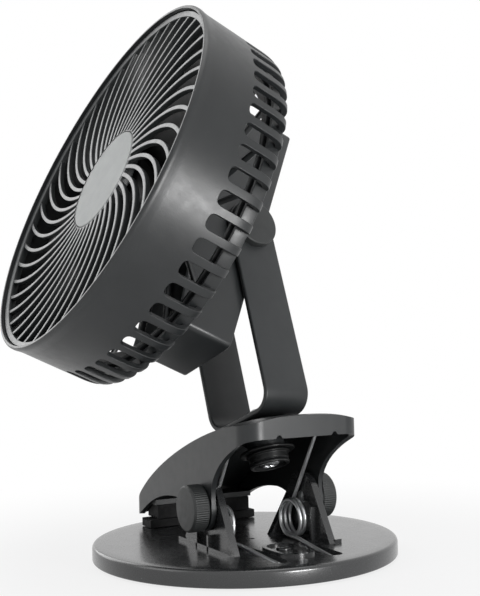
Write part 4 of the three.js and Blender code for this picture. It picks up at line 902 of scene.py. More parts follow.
    def build(self) -> None:
        """Makes the base's pieces."""
        shell = joined(self.disc(), *self.oval(), self.ear(1), self.ear(-1))
        self.add("base_shell_dressed", shell, FINISH.base, "charcoal_plastic", ("base_shell",),
                 Edge(0.35, 2, 40))
        foot = lathed([[0, 0], [70, 0], [70, 1.2], [0, 1.2]], [0, 0.4, 0.3, 0], 128)
        self.add("foot_pad_dressed", foot, FINISH.rubber, "black_rubber", ("base_foot_pad",))
        pad = self.grooved_pad(11.8, 31.0, 4.2, 1).moved(x=-52.0, z=10.8)
        self.add("lower_jaw_pad_dressed", pad, FINISH.rubber, "black_rubber", ("lower_jaw_pad",),
                 Edge(0.35, 2))
        for node in ("base_cover", "base_screw_1", "base_screw_2", "base_screw_3"):
            self.dress(node, FINISH.dark if node == "base_cover" else FINISH.steel)
        self.dress("base_weight", FINISH.steel)


# ---- Hinge ----
@dataclass
class Hinge(Assembly):
    """The two knurled knobs of the clip's hinge, and the wound springs between the ears."""

    knob_radius: float = 11.0
    knob_from: float = 30.9
    knob_to: float = 38.9
    teeth: int = 64
    tooth: float = 0.2
    wire: float = 0.95
    coil: float = 8.45
    pitch: float = 2.6
    outer_y: float = 22.45
    coil_x: float = 15.2
    coil_z: float = 18.2
    rise: float = 56.6
    leg: float = 47.6

    def knob(self, side: int) -> Shape:
        """Knob along y: radius r(z) + tooth * (wave(angle) - 1) on its barrel only.

        The wave is cos(teeth * angle), and it fades out over the barrel's softened edges.

        Args:
            side: 1 for the right one, -1 for the left one.

        Returns:
            The knob with its teeth.
        """
        width = self.knob_to - self.knob_from
        profile = softened(
            [[0, 0], [self.knob_radius - 0.6, 0], [self.knob_radius, 0.6], [self.knob_radius, width - 1.0],
             [self.knob_radius - 1.0, width], [0, width]],
            [0, 0.3, 0.3, 0.5, 0.5, 0], 3, closed=False,
        )
        depths = np.array([0.7, 2.5, 4.5, width - 1.6])
        barrel = np.column_stack([np.full(len(depths), self.knob_radius), depths])
        near, far = profile[profile[:, 1] <= 0.65], profile[profile[:, 1] > width - 1.6]
        profile = np.concatenate([near, barrel, far])
        shape = turned_profile(profile, self.teeth * 6)

        def knurl(points: np.ndarray) -> np.ndarray:
            """Draws the barrel's points in between the teeth.

            Args:
                points: the smooth knob, in its own frame.

            Returns:
                The same points, drawn in.
            """
            radius = np.hypot(points[:, 0], points[:, 1])
            angle = np.arctan2(points[:, 1], points[:, 0])
            on = np.clip((radius - self.knob_radius + 0.5) / 0.5, 0, 1)
            pull = 1 + on * self.tooth * (np.cos(self.teeth * angle) - 1) / 2 / np.maximum(radius, 1)
            return points * np.stack([pull, pull, np.ones_like(pull)], 1)

        rows = [[1, 0, 0], [0, 0, 1], [0, side, 0]]
        return shape.bent(knurl).turned(rows).moved(y=side * self.knob_from)

    def spring_line(self, side: int) -> np.ndarray:
        """Middle line of one spring: lower leg, bend, two and a third turns, upper leg.

        The coil is (r cos a, y, r sin a) with a falling from 270 degrees while y runs outwards,
        and the whole line is smoothed over about two millimetres, which rounds its bends.

        Args:
            side: 1 for the right one, -1 for the left one.

        Returns:
            Points along the wire's middle, evenly spaced.
        """
        end = 90 + self.rise
        total = 270 - end + 720
        inner_y = self.outer_y - self.pitch * total / 360
        tip = np.array([42.8, inner_y - 2.65, -self.coil - 3.35])
        start = np.array([0, inner_y, -self.coil])
        knee = tip + (start - tip) * (1 - 9.8 / 42.8)
        knee[2] = -self.coil
        share = np.linspace(0, 1, 240)
        a = np.radians(270 - total * share)
        outwards = inner_y + (self.outer_y - inner_y) * share
        turns = np.column_stack([self.coil * np.cos(a), outwards, self.coil * np.sin(a)])
        lift = math.radians(self.rise)
        top = turns[-1] + self.leg * np.array([math.cos(lift), 0, math.sin(lift)])
        lower = tip + (knee - tip) * np.linspace(0, 1, 60)[:, None]
        bend = knee + (start - knee) * np.linspace(0, 1, 20)[1:, None]
        upper = turns[-1] + (top - turns[-1]) * np.linspace(0, 1, 80)[1:, None]
        line = np.concatenate([lower, bend, turns[1:], upper])
        away = np.concatenate([[0], np.cumsum(np.linalg.norm(np.diff(line, axis=0), axis=1))])
        even = np.linspace(0, away[-1], 420)
        line = np.stack([np.interp(even, away, line[:, k]) for k in range(3)], 1)
        kernel = np.ones(5) / 5
        padded = np.pad(line, ((2, 2), (0, 0)), mode="edge")
        smooth = np.stack([np.convolve(padded[:, k], kernel, "valid") for k in range(3)], 1)
        smooth[[0, -1]] = line[[0, -1]]
        return smooth * np.array([1, side, 1]) + np.array([self.coil_x, 0, self.coil_z])

    def build(self) -> None:
        """Makes the knobs and the springs."""
        for word, side in (("left", -1), ("right", 1)):
            self.add(f"hinge_knob_{word}_dressed", self.knob(side), FINISH.knob, "charcoal_plastic",
                     (f"hinge_knob_{word}",), axes=AXES["hinge"])
            line = self.spring_line(side)
            ends = np.clip(np.minimum(np.arange(len(line)), np.arange(len(line))[::-1]) / 2.0, 0.45, 1)
            wire = carried(line, circle(self.wire, 14), np.array([0.0, 1.0, 0.0]), ends)
            spring = self.add(
                f"spring_{word}_dressed", wire, FINISH.steel, "bright_steel", (f"spring_{word}",)
            )
            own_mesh(spring)
            self.dress(f"hinge_pin_{word}", FINISH.turned_steel)


# ---- Clip lever ----
@dataclass
class Lever(Assembly):
    """Dome-shaped lever of the clip: upper jaw, hinge cheeks and handle in one shell."""

    half_width: float = 30.5
    front: float = -85.6
    back: float = 45.4
    nose_round: float = 10.0
    handle_round: float = 9.0
    wall: float = 2.6
    lip: float = -13.6
    least_nose: float = 1.3
    swivel_x: float = 5.08
    swivel_z: float = 37.99
    sweep_level: float = -0.5
    seat_level: float = -1.65
    rows: int = 96
    turn_rows: int = 15
    columns: int = 40
    wall_rows: int = 7
    end_half: float = 21.5
    lip_end: float = -78.1
    belly_start: float = -29.6
    lobe_start: float = -12.0
    lobe_radius: float = 11.0
    tail_start: float = 17.0
    notches: tuple[float, float] = (-13.5, 15.5)

    def roof(self, x: np.ndarray, y: np.ndarray) -> np.ndarray:
        """Height of the roof over x and y.

        Crest and shoulder lines are cubic curves over x, and the height falls from crest to
        shoulder with the cube of |y| / half width. Under the yoke's foot it is pressed down to a
        plane across the swivel axis, and the nose keeps a least thickness above the lip.

        Args:
            x: places along the lever.
            y: places across it.

        Returns:
            Heights at those places.
        """
        t = np.linspace(0, 1, 801)
        weights = np.stack([(1 - t) ** 3, 3 * (1 - t) ** 2 * t, 3 * (1 - t) * t**2, t**3], 1)
        along = weights @ np.array([-86.6, -85.6, 47.0, 47.4])
        crest = np.interp(x, along, weights @ np.array([-16.5, 14.1, 52.3, 42.5]))
        shoulder = np.interp(x, along, weights @ np.array([-19.2, 14.0, 50.9, 37.3]))
        height = crest - (crest - shoulder) * np.abs(y / self.half_width) ** 3
        up = AXES["swivel"].rows[2]
        dx, dz = x - self.swivel_x, height - self.swivel_z
        level = dx * up[0] + dz * up[2]
        away = np.hypot(dx * up[2] - dz * up[0], y)
        limit = np.interp(away, [12.2, 13.2], [self.seat_level, self.sweep_level])
        over = level - limit
        press = np.where(over > 0, over, 0) * np.clip((24.5 - away) / 4.5, 0, 1)
        height = height - press / up[2]
        nose = self.lip + self.least_nose
        return np.where(height > nose + 1, height, nose + np.log1p(np.exp(2 * (height - nose))) / 2)

    def half(self, x: np.ndarray, inset: float = 0.0) -> np.ndarray:
        """Half width of the plan at x: full, less the round at the nose and at the handle.

        Args:
            x: places along the lever.
            inset: how far the plan is drawn in.

        Returns:
            Half widths at those places.
        """
        wide = self.half_width - inset
        front, back = self.front + inset, self.back - inset
        nose, handle = self.nose_round - inset, self.handle_round - inset
        a = np.clip(x - front, 0, nose)
        b = np.clip(back - x, 0, handle)
        from_nose = np.sqrt(np.maximum(nose**2 - (nose - a) ** 2, 0)) - nose
        from_handle = np.sqrt(np.maximum(handle**2 - (handle - b) ** 2, 0)) - handle
        return wide + from_nose + from_handle

    def lower_edge(self, x: np.ndarray) -> np.ndarray:
        """Points (x, z) of the cheeks' lower edge that belong to the roof's places x.

        Lip, throat, belly, hinge lobe and underside of the handle follow each other. Where the
        edge is a function of x it is taken straight below the roof, and round the lobe the ruling
        lines fan out.

        Args:
            x: the roof's places along the lever.

        Returns:
            A point (x, z) for each.
        """
        throat = bezier([[self.lip_end, self.lip], [-68.8, -9.4], [-57.4, 0.7], [self.belly_start, 1.6]], 200)
        meeting = self.lobe_radius * np.array([math.cos(math.radians(225)), math.sin(math.radians(225))])
        belly = bezier([[self.belly_start, 1.6], [-16.5, 1.0], meeting], 80)
        lobe = arc((0, 0), self.lobe_radius, 225, 368, 160)
        tail = bezier([lobe[-1], [6.3, 16.7], [27.0, 28.4], [47.4, 34.8]], 300)
        turn = int(np.argmax(tail[:, 0] > self.tail_start))
        pieces = [
            (self.belly_start, self.lobe_start, belly),
            (self.lobe_start, self.lobe_radius, lobe),
            (self.lobe_radius, self.tail_start, tail[: turn + 1]),
        ]
        z = np.where(x < self.lip_end, self.lip, np.interp(x, throat[:, 0], throat[:, 1]))
        z = np.where(x > self.tail_start, np.interp(x, tail[turn:, 0], tail[turn:, 1]), z)
        out = np.column_stack([x, z])
        for first, last, curve in pieces:
            share = np.clip((x - first) / (last - first), 0, 1) * (len(curve) - 1)
            k = np.arange(len(curve))
            spot = np.column_stack([np.interp(share, k, curve[:, 0]), np.interp(share, k, curve[:, 1])])
            inside = (x > first) & (x < last)
            out = np.where(inside[:, None], spot, out)
        return out

    def drawn_in(self, x: np.ndarray) -> np.ndarray:
        """x of the inner sheet: drawn in by the wall at both ends, and the same in the middle.

        Args:
            x: places on the outer sheet.

        Returns:
            Their places on the inner one.
        """
        near = np.clip(1 - (x - self.front) / 20, 0, 1)
        far = np.clip(1 - (self.back - x) / 20, 0, 1)
        return x + self.wall * (near - far)

    def shell(self) -> Shape:
        """The roof, its walls and their inner faces as one closed wall.

        The roof is a grid over x and y = half(x) * v, and each wall is ruled from the roof's edge
        to the lower edge. The inner sheet has the same grid, drawn in by the wall's thickness.

        Returns:
            The closed wall.
        """
        quarter = np.linspace(0, math.pi / 2, self.turn_rows)
        x = np.concatenate([
            self.front + self.nose_round * (1 - np.cos(quarter)),
            np.linspace(self.front + self.nose_round, self.back - self.handle_round, self.rows)[1:-1],
            self.back - self.handle_round * (1 - np.cos(quarter[::-1])),
        ])
        v = np.linspace(-1, 1, self.columns + 1)
        v = 0.55 * np.sin(v * math.pi / 2) + 0.45 * v
        near = np.linspace(-1.6, 1.6, 9)
        v = np.unique(np.round(np.concatenate([v, *[(y + near) / self.end_half for y in self.notches]]), 5))
        edge = self.lower_edge(x)

        def sheet(inset: float) -> np.ndarray:
            """Points of the outer sheet, or of the inner one where inset is the wall.

            Args:
                inset: 0 for the outer sheet, the wall's thickness for the inner one.

            Returns:
                Points of the roof and then of the four walls.
            """
            place = self.drawn_in if inset else (lambda value: value)
            px, ex = place(x), place(edge[:, 0])
            half, edge_half = self.half(px, inset), self.half(ex, inset)
            roof_x = np.repeat(px[:, None], len(v), 1)
            roof_y = half[:, None] * v[None]
            top = self.roof(roof_x, roof_y)
            top = np.maximum(top - inset, self.lip + 0.35) if inset else top
            crown = np.stack([roof_x, roof_y, top], -1).reshape(-1, 3)
            t = np.linspace(0, 1, self.wall_rows + 1)[1:, None]
            walls = []
            for column, sign in ((0, -1), (-1, 1)):
                start = np.column_stack([px, sign * half, top[:, column]])
                low = np.minimum(edge[:, 1], top[:, column] - 0.3)
                finish = np.column_stack([ex, sign * edge_half, low])
                walls.append((start[None] * (1 - t[..., None]) + finish[None] * t[..., None]).reshape(-1, 3))
            for row in (0, -1):
                start = np.stack([roof_x[row], roof_y[row], top[row]], -1)
                low = np.minimum(edge[row, 1], top[row] - 0.3)
                if row:
                    off = np.abs(roof_y[row][:, None] - np.array(self.notches)[None]).min(1)
                    low = low + 1.5 * np.clip(1.7 - off, 0, 1)
                finish = np.stack([roof_x[row], roof_y[row], low], -1)
                walls.append((start[None] * (1 - t[..., None]) + finish[None] * t[..., None]).reshape(-1, 3))
            return np.concatenate([crown, *walls])

        n, m, w = len(x), len(v), self.wall_rows
        quads = [grid_faces(n, m)]
        at = n * m
        edges = [np.arange(n) * m, np.arange(n) * m + m - 1, np.arange(m), (n - 1) * m + np.arange(m)]
        for k, first in enumerate(edges):
            size = len(first)
            table = np.concatenate([first[None], at + np.arange(w * size).reshape(w, size)])
            at += w * size
            a, b, c, d = table[:-1, :-1], table[:-1, 1:], table[1:, 1:], table[1:, :-1]
            quads.append(np.stack([a, b, c, d] if k in (1, 2) else [d, c, b, a], -1).reshape(-1, 4))
        outer, inner = sheet(0.0), sheet(self.wall)
        first, faces = welded(outer, np.concatenate(quads))
        return thickened(outer[first], inner[first], faces)

    def build(self) -> None:
        """Makes the lever with its boss, seat and beam, and the upper pad."""
        up = AXES["swivel"].rows
        seat = lathed([[3.0, -5.9], [13.0, -5.9], [13.0, -2.0], [3.0, -2.0]], 0.3, 64, closed=True)
        boss = lathed([[2.9, -13.5], [9.0, -13.5], [9.0, -5.0], [2.9, -5.0]], 0.4, 64, closed=True)
        ribs = []
        for angle in (35, 145, 215, 325):
            web = np.array([[8.6, -11.0], [8.6, -2.4], [16.5, -2.4], [16.5, -4.0]])
            rib = extruded(web, -0.7, 0.7).turned(IN_XZ)
            ribs.append(rib.bent(lambda points, a=angle: round_z(points, np.radians(float(a)))))
        stack = joined(seat, boss, *ribs).turned(up).moved(self.swivel_x, 0, self.swivel_z)
        beam = extruded(np.array([[-75.6, -28.3], [-60.0, -28.3], [-60.0, 28.3], [-75.6, 28.3]]), -6.9, -4.3)
        shell = joined(self.shell(), stack, beam)
        self.add("clip_lever_dressed", shell, FINISH.lever, "charcoal_plastic", ("clip_lever",),
                 Edge(0.7, 3, 42))
        pad = Base("clip", self.axes).grooved_pad(14.0, 27.0, 7.3, -1).moved(x=-66.6, z=-10.65)
        self.add("upper_jaw_pad_dressed", pad, FINISH.rubber, "black_rubber", ("upper_jaw_pad",),
                 Edge(0.4, 2))


# ---- Swivel ----
@dataclass
class Swivel(Assembly):
    """Washers, collar, screw and nut that hold the yoke on the lever."""

    bore: float = 2.8

    def screw(self) -> Shape:
        """Screw with a domed head below, whose face is sunk by a cross.

        The head's depth at (x, y) is the dome less the cross, which is a smooth step in |x| and
        |y|: deep where the smaller is under half the blade and the larger under its reach.

        Returns:
            The closed screw.
        """
        profile = softened(
            [[0, -21.5], [3.4, -21.3], [4.6, -20.4], [4.6, -18.2], [2.5, -18.2], [2.5, 6.2], [0, 6.2]],
            [0, 0.8, 0.4, 0.3, 0.2, 0.4, 0], 3, closed=False,
        )
        fine = np.linspace(0, 3.4, 15)[1:-1]
        face = np.column_stack([fine, np.interp(fine, [0, 3.4], [-21.5, -21.3])])
        profile = np.concatenate([profile[:1], face, profile[1:]])

        def crossed(points: np.ndarray) -> np.ndarray:
            """Sinks the cross into the head's face.

            Args:
                points: the plain screw.

            Returns:
                The same points with the cross sunk in.
            """
            x, y, z = np.abs(points[:, 0]), np.abs(points[:, 1]), points[:, 2]
            small, large = np.minimum(x, y), np.maximum(x, y)
            deep = np.clip((0.75 - small) / 0.25, 0, 1) * np.clip((2.7 - large) / 0.4, 0, 1)
            return np.column_stack([points[:, :2], z + np.where(z < -20.9, 1.3 * deep, 0)])

        return turned_profile(profile, 96).bent(crossed)

    def build(self) -> None:
        """Makes the stack's pieces."""
        self.add("swivel_washer_dressed", washer(self.bore, 12.0, -1.3, -0.3, 0.2), FINISH.rubber,
                 "black_rubber", ("swivel_washer",))
        self.add("swivel_lower_washer_dressed", washer(self.bore, 13.2, -15.0, -13.8, 0.35, 96),
                 FINISH.dark, "bright_steel", ("swivel_lower_washer",))
        collar = lathed(
            [[self.bore, -15.3], [10.6, -15.3], [10.6, -16.1], [9.6, -16.5], [9.6, -19.0], [9.1, -19.3],
             [9.1, -19.7], [9.6, -20.0], [9.6, -21.3], [8.0, -21.3], [7.2, -20.2], [5.2, -19.9],
             [4.95, -17.9], [self.bore, -17.9]],
            [0.1, 0.3, 0.2, 0.3, 0.2, 0.1, 0.1, 0.2, 0.5, 0.4, 0.4, 0.2, 0.1, 0.1], 96, closed=True,
        )
        self.add("swivel_collar_dressed", collar, FINISH.dark, "dark_plastic", ("swivel_collar",))
        self.add("swivel_screw_dressed", self.screw(), FINISH.turned_steel, "bright_steel", ("swivel_screw",))
        hexagon = circle(5.2, 6)
        nut = pierced([hexagon, circle(self.bore, 24)], 2.9, 6.3)
        self.add("swivel_nut_dressed", nut, FINISH.steel, "bright_steel", ("swivel_nut",), Edge(0.35, 2))


# ---- Yoke ----
@dataclass
class Yoke(Assembly):
    """Flat steel strap bent to a U with round arm tops."""

    width: float = 26.2
    thickness: float = 2.6
    half_span: float = 23.65
    bend: float = 10.6
    pivot: float = 95.78
    edge: float = 0.9

    def strap(self) -> Shape:
        """A rounded bar section carried along the U.

        Its half width is that of the strap, and above the pivot it narrows as
        sqrt(r^2 - (height - pivot)^2), which makes the arm's round top.

        Returns:
            The closed strap.
        """
        middle = self.half_span - self.thickness / 2
        turn = self.bend - self.thickness / 2
        centre = self.half_span - self.bend
        r = self.width / 2
        rising = self.pivot + r * np.sin(np.linspace(0, math.pi / 2, 22))
        straight = np.linspace(self.bend, self.pivot, 26)[:-1]
        heights = np.concatenate([straight, rising])
        arm = np.column_stack([np.full(len(heights), middle), heights])
        corner = arc((centre, self.bend), turn, -90, 0, 16)[:-1]
        web = np.column_stack([np.linspace(-centre, centre, 12)[1:-1], np.full(10, self.bend - turn)])
        right = np.concatenate([corner, arm])
        left = (right * np.array([-1, 1]))[::-1]
        path = np.concatenate([left, web, right])
        half = np.sqrt(np.maximum(r**2 - np.maximum(path[:, 1] - self.pivot, 0) ** 2, 0.02**2))
        along = unit(np.gradient(path, axis=0))
        inward = np.stack([-along[:, 1], along[:, 0]], 1)
        base = rounded_bar(2.0, self.thickness, self.edge, 4)
        sign = np.sign(base[:, 0])
        short = 1 - np.abs(base[:, 0])
        z = sign[None] * np.maximum(half[:, None] - short[None], 0)
        shift = base[:, 1]
        x = path[:, 0:1] + inward[:, 0:1] * shift[None]
        y = path[:, 1:2] + inward[:, 1:2] * shift[None]
        points = np.stack([x, y, z], -1).reshape(-1, 3)
        n, m = len(path), len(base)
        caps = [np.arange(m)[None, ::-1], (np.arange(m) + (n - 1) * m)[None]]
        return Shape(points, [grid_faces(n, m, ring_columns=True)] + caps)

    def build(self) -> None:
        """Makes the strap."""
        self.add("yoke_dressed", self.strap(), FINISH.painted, "painted_steel", ("yoke",), Edge(angle=50))


# ---- Head ----
@dataclass
class Head(Assembly):
    """Outer shell with side slots, front grille with spiral ribs, hub disc and rear grille."""

    radius: float = 92.2
    back: float = 29.2
    front: float = 78.2
    hole: float = 78.0
    flange: float = 31.8
    inner: float = 89.8
    lip_inner: float = 90.8
    ledge: float = 71.7
    slots: int = 52
    slot_turn: float = 3.6
    slot_width: float = 7.2
    slot_end: float = 51.2
    ribs: int = 42
    rib_front: float = 73.3

    def knots(self) -> tuple[np.ndarray, np.ndarray]:
        """The shell's outer and inner profile against one path number.

        Returns:
            Path numbers, and for each the outer radius and depth and the inner radius and depth.
            The path number is the depth itself along the side.
        """
        corner = bezier([[86.0, self.back], [90.6, self.back], [self.radius, 33.0], [self.radius, 40.6]], 10)
        bend = [[84.6, self.flange], [88.6, self.flange], [self.inner, 35.0], [self.inner, 41.0]]
        inside = bezier(bend, 10)
        k = np.linspace(28.0, 40.6, 11)
        rows = [[20.0, self.hole, self.back, self.hole, self.flange]]
        rows += [[27.0, 85.0, self.back, 84.0, self.flange]]
        rows += np.column_stack([k, corner, inside]).tolist()
        rows += [[y, self.radius, y, self.inner, y] for y in (47.6, 60.0, 71.4)]
        rows += [
            [71.9, self.radius, 71.9, self.inner, self.ledge],
            [72.4, self.radius + 0.04, 72.4, self.lip_inner, self.ledge + 0.02],
            [74.0, self.radius + 0.18, 74.0, self.lip_inner, 74.0],
            [75.2, self.radius + 0.38, 75.2, self.lip_inner, 75.2],
            [76.2, self.radius + 0.5, 76.2, self.lip_inner, 76.2],
            [77.3, self.radius + 0.42, 77.3, self.lip_inner, 77.3],
            [self.front, self.radius - 0.1, self.front, self.lip_inner, self.front],
        ]
        table = np.array(rows)
        return table[:, 0], table[:, 1:]

    def sector(self) -> tuple[np.ndarray, np.ndarray]:
        """Flat sheet of one slot's sector: x is the arc length across, y the path number.

        Plain bands lie behind and before the slot, bars on both sides of it, and a patch of rays
        fills the space between the slot's half-round end and a rectangle.

        Returns:
            Points (x, y) and faces with four corners.
        """
        half, pitch = self.slot_width / 2, TURN * self.radius / self.slots / 2
        centre = self.slot_end - half
        top = 54.6
        bar = np.array([half, half + 0.5, pitch - 0.5, pitch])
        mid = np.linspace(-half, half, 7)[1:-1]
        columns = np.concatenate([-bar[::-1], mid, bar])
        path, _ = self.knots()
        sides = path[(path >= 27.0) & (path < centre + 1e-6)]
        fore = np.concatenate([[top, 60.0, 66.0], path[path > 71]])
        points, faces, count = [], [], 0

        def patch(table: np.ndarray) -> None:
            """Adds a grid of points (rows, columns, 2).

            Args:
                table: places of the grid.
            """
            nonlocal count
            rows, cols = table.shape[:2]
            points.append(table.reshape(-1, 2))
            faces.append(grid_faces(rows, cols) + count)
            count += rows * cols

        def plain(xs: np.ndarray, ys: np.ndarray) -> None:
            """Adds a plain grid over the given columns and rows."""
            patch(np.stack(np.meshgrid(xs, ys), -1))

        plain(columns, np.array([20.0, 23.0, 27.0]))
        plain(bar, sides)
        plain(-bar[::-1], sides)
        plain(columns, fore)
        edge_y = np.linspace(centre, top, 4)
        border = np.concatenate([
            np.column_stack([np.full(3, pitch), edge_y[:-1]]),
            np.column_stack([columns[::-1], np.full(len(columns), top)]),
            np.column_stack([np.full(3, -pitch), edge_y[:-1][::-1]]),
        ])
        a = np.linspace(0, math.pi, len(border))
        ring = np.column_stack([
            half * np.sign(np.cos(a)) * np.abs(np.cos(a)) ** 0.7, centre + half * np.sin(a) ** 0.7
        ])
        share = ((bar - half) / (pitch - half))[:, None, None]
        patch(ring[None] * (1 - share) + border[None] * share)
        return np.concatenate(points), np.concatenate(faces)

    def shell(self) -> Shape:
        """The slotted shell: the sector repeated round the axis and given its wall.

        A sheet point (x, y) goes to radius R(y), depth A(y) and angle x / R, once with the outer
        profile and once with the inner one.

        Returns:
            The closed wall, and the ring behind its slots.
        """
        flat, faces = self.sector()
        path, profile = self.knots()
        turns = math.radians(self.slot_turn) + np.arange(self.slots) * TURN / self.slots
        x = np.tile(flat[:, 0], self.slots) / self.radius + np.repeat(turns, len(flat))
        y = np.tile(flat[:, 1], self.slots)
        offsets = (np.arange(self.slots) * len(flat))[:, None, None]
        quads = (faces[None] + offsets).reshape(-1, 4)

        def wrapped(radius: np.ndarray, depth: np.ndarray) -> np.ndarray:
            """Points at those radii, depths and the sheet's angles."""
            r, z = np.interp(y, path, radius), np.interp(y, path, depth)
            return np.column_stack([r * np.cos(x), r * np.sin(x), z])

        outer = wrapped(profile[:, 0], profile[:, 1])
        inner = wrapped(profile[:, 2], profile[:, 3])
        key = np.column_stack([np.cos(x) * 60, np.sin(x) * 60, y])
        first, kept = welded(key, quads)
        ring = washer(84.4, 86.5, self.back + 0.05, 36.0, 0.5, 156)
        return joined(thickened(outer[first], inner[first], kept), ring)

    def rib_angle(self, r: np.ndarray) -> np.ndarray:
        """Angle of a rib's middle line at radius r: -2.7 - 0.344 s - 0.00189 s^2 degrees."""
        s = r - 26.95
        return np.radians(-2.7 - 0.344 * s - 0.00189 * s**2)

    def rim(self) -> Shape:
        """Turned rim that holds the ribs' outer ends inside the shell's lip."""
        return lathed([[87.8, 72.0], [90.5, 72.0], [90.5, 76.5], [87.8, 75.5]],
                      [0.4, 0.3, 0.4, 0.3], 168, closed=True, steps=3)

    def grille(self) -> Shape:
        """Hub cup and the spiral ribs, which rise to the rim with the square of the radius.

        Returns:
            The cup and all the ribs.
        """
        cup = lathed([[0, 68.4], [27.4, 68.4], [27.4, 73.0], [26.5, 73.0], [26.5, 70.6], [0, 70.6]],
                     [0, 1.2, 0.3, 0.2, 0.2, 0], 96)
        r = np.linspace(26.9, 88.6, 30)
        a = self.rib_angle(r)
        rise = self.rib_front - 1.35 + 1.9 * ((r - 26.9) / 61.7) ** 2
        line = np.column_stack([r * np.cos(a), r * np.sin(a), rise])
        corners_of_rib = [[-0.8, -1.35], [0.8, -1.35], [1.05, 1.35], [-1.05, 1.35]]
        section = softened(corners_of_rib, [0.3, 0.3, 0.28, 0.28], 3)
        rib = carried(line, section, np.array([0.0, 0.0, 1.0]))
        return joined(cup, around(rib, self.ribs))

    def hub(self) -> Shape:
        """Plain disc with a softened rim and a face that is dished by a fifth of a millimetre.

        Returns:
            The closed disc.
        """
        face = np.linspace(24.6, 0, 9)
        dish = 73.0 + 0.0003 * face**2
        side = softened(
            [[0, 70.9], [26.2, 70.9], [26.2, 73.2], [24.8, 73.2]], [0, 0.3, 0.7, 0], 4, closed=False
        )
        profile = np.concatenate([side, np.column_stack([face, dish])])
        return turned_profile(profile, 128)

    def rear(self) -> Shape:
        """Rear guard: turned ring with its upstand, motor cup, pierced plate and rounded bars.

        Returns:
            Its parts as one shape.
        """
        ring = lathed(
            [[74.5, 29.2], [77.7, 29.2], [77.7, 32.1], [82.3, 32.1], [82.3, 37.0], [80.5, 37.0], [80.5, 34.0],
             [74.5, 34.0]],
            [0.8, 0.3, 0.1, 0.3, 0.4, 0.4, 0.3, 0.8], 144, closed=True,
        )
        cup = washer(13.8, 16.3, 31.7, 40.1, 0.4, 64)
        holes = [circle(1.8, 20, x, y) for x in (-13.6, 13.6) for y in (-22.0, 22.0)]
        plate = pierced([circle(34.0, 96)] + holes, 29.2, 32.1)
        line = np.column_stack([np.linspace(33.2, 75.4, 8), np.zeros(8), np.full(8, 30.65)])
        bar = carried(line, rounded_bar(2.2, 2.9, 0.8, 3), np.array([0.0, 0.0, 1.0]))
        return joined(ring, cup, plate, around(bar, 18))

    def build(self) -> None:
        """Makes the head's pieces."""
        self.add("head_shell_dressed", self.shell(), FINISH.housing, "charcoal_plastic", ("head_shell",),
                 Edge(0.3, 2, 40))
        self.add("front_grille_dressed", self.grille(), FINISH.ribs, "rib_plastic", ("front_grille",))
        self.add("front_grille_rim", self.rim(), FINISH.ribs, "rib_plastic", ("front_grille",))
        self.add("hub_disc_dressed", self.hub(), FINISH.silver, "hub_silver", ("hub_disc",))
        self.add("rear_grille_dressed", self.rear(), FINISH.housing, "charcoal_plastic", ("rear_grille",))
        self.dress("motor_housing", FINISH.steel)


# ---- Impeller ----
@dataclass
class Impeller(Assembly):
    """Hub with five thick twisted blades on the motor's shaft."""

    front: float = 65.0
    back: float = 46.0
    hub_radius: float = 20.0
    tip: float = 82.0
    blades: int = 5

    def blade(self) -> Shape:
        """One blade: radius and chord make the grid, the pitch falls outwards.

        Angle = chord cos(pitch) / radius + sweep, height = middle + chord sin(pitch), and the
        thickness is a lens shape over the chord, added on both sides.

        Returns:
            The closed blade.
        """
        out = np.linspace(0, 1, 22)[:, None]
        c = np.linspace(-0.5, 0.5, 15)[None, :]
        radius = 18.8 + (self.tip - 18.8) * out + 0 * c
        round_tip = 1 - 0.16 * np.clip((out - 0.8) / 0.2, 0, 1) ** 2
        chord = (24 + 36 * out) * c * round_tip
        pitch = np.radians(42 - 19 * out)
        angle = chord * np.cos(pitch) / radius + math.radians(16) * out
        middle = (self.front + self.back) / 2
        height = middle + chord * np.sin(pitch) + 1.2 * (c**2 * 4 - 0.4)
        thick = 0.9 * np.sqrt(np.maximum(1 - (c * 1.94) ** 2, 0)) + 0.12 + 0 * out
        x, y = radius * np.cos(angle), radius * np.sin(angle)
        sheets = [np.stack([x, y, height + sign * thick], -1).reshape(-1, 3) for sign in (1, -1)]
        return thickened(sheets[0], sheets[1], grid_faces(22, 15))

    def build(self) -> None:
        """Makes the impeller."""
        hub = lathed(
            [[0, self.front - 0.1], [self.hub_radius, self.front], [self.hub_radius, self.back],
             [17.5, self.back], [17.5, 62.5], [4.5, 62.5], [4.5, 59.0], [1.8, 59.0], [1.8, 64.0], [0, 64.0]],
            [0, 2.4, 0.5, 0.5, 1.0, 0.5, 0.3, 0.2, 0.1, 0], 80,
        )
        fan = joined(hub, around(self.blade(), self.blades))
        self.add("impeller_dressed", fan, FINISH.black, "dark_plastic", ("impeller",), Edge(angle=55))
        self.dress("motor_shaft", FINISH.turned_steel)


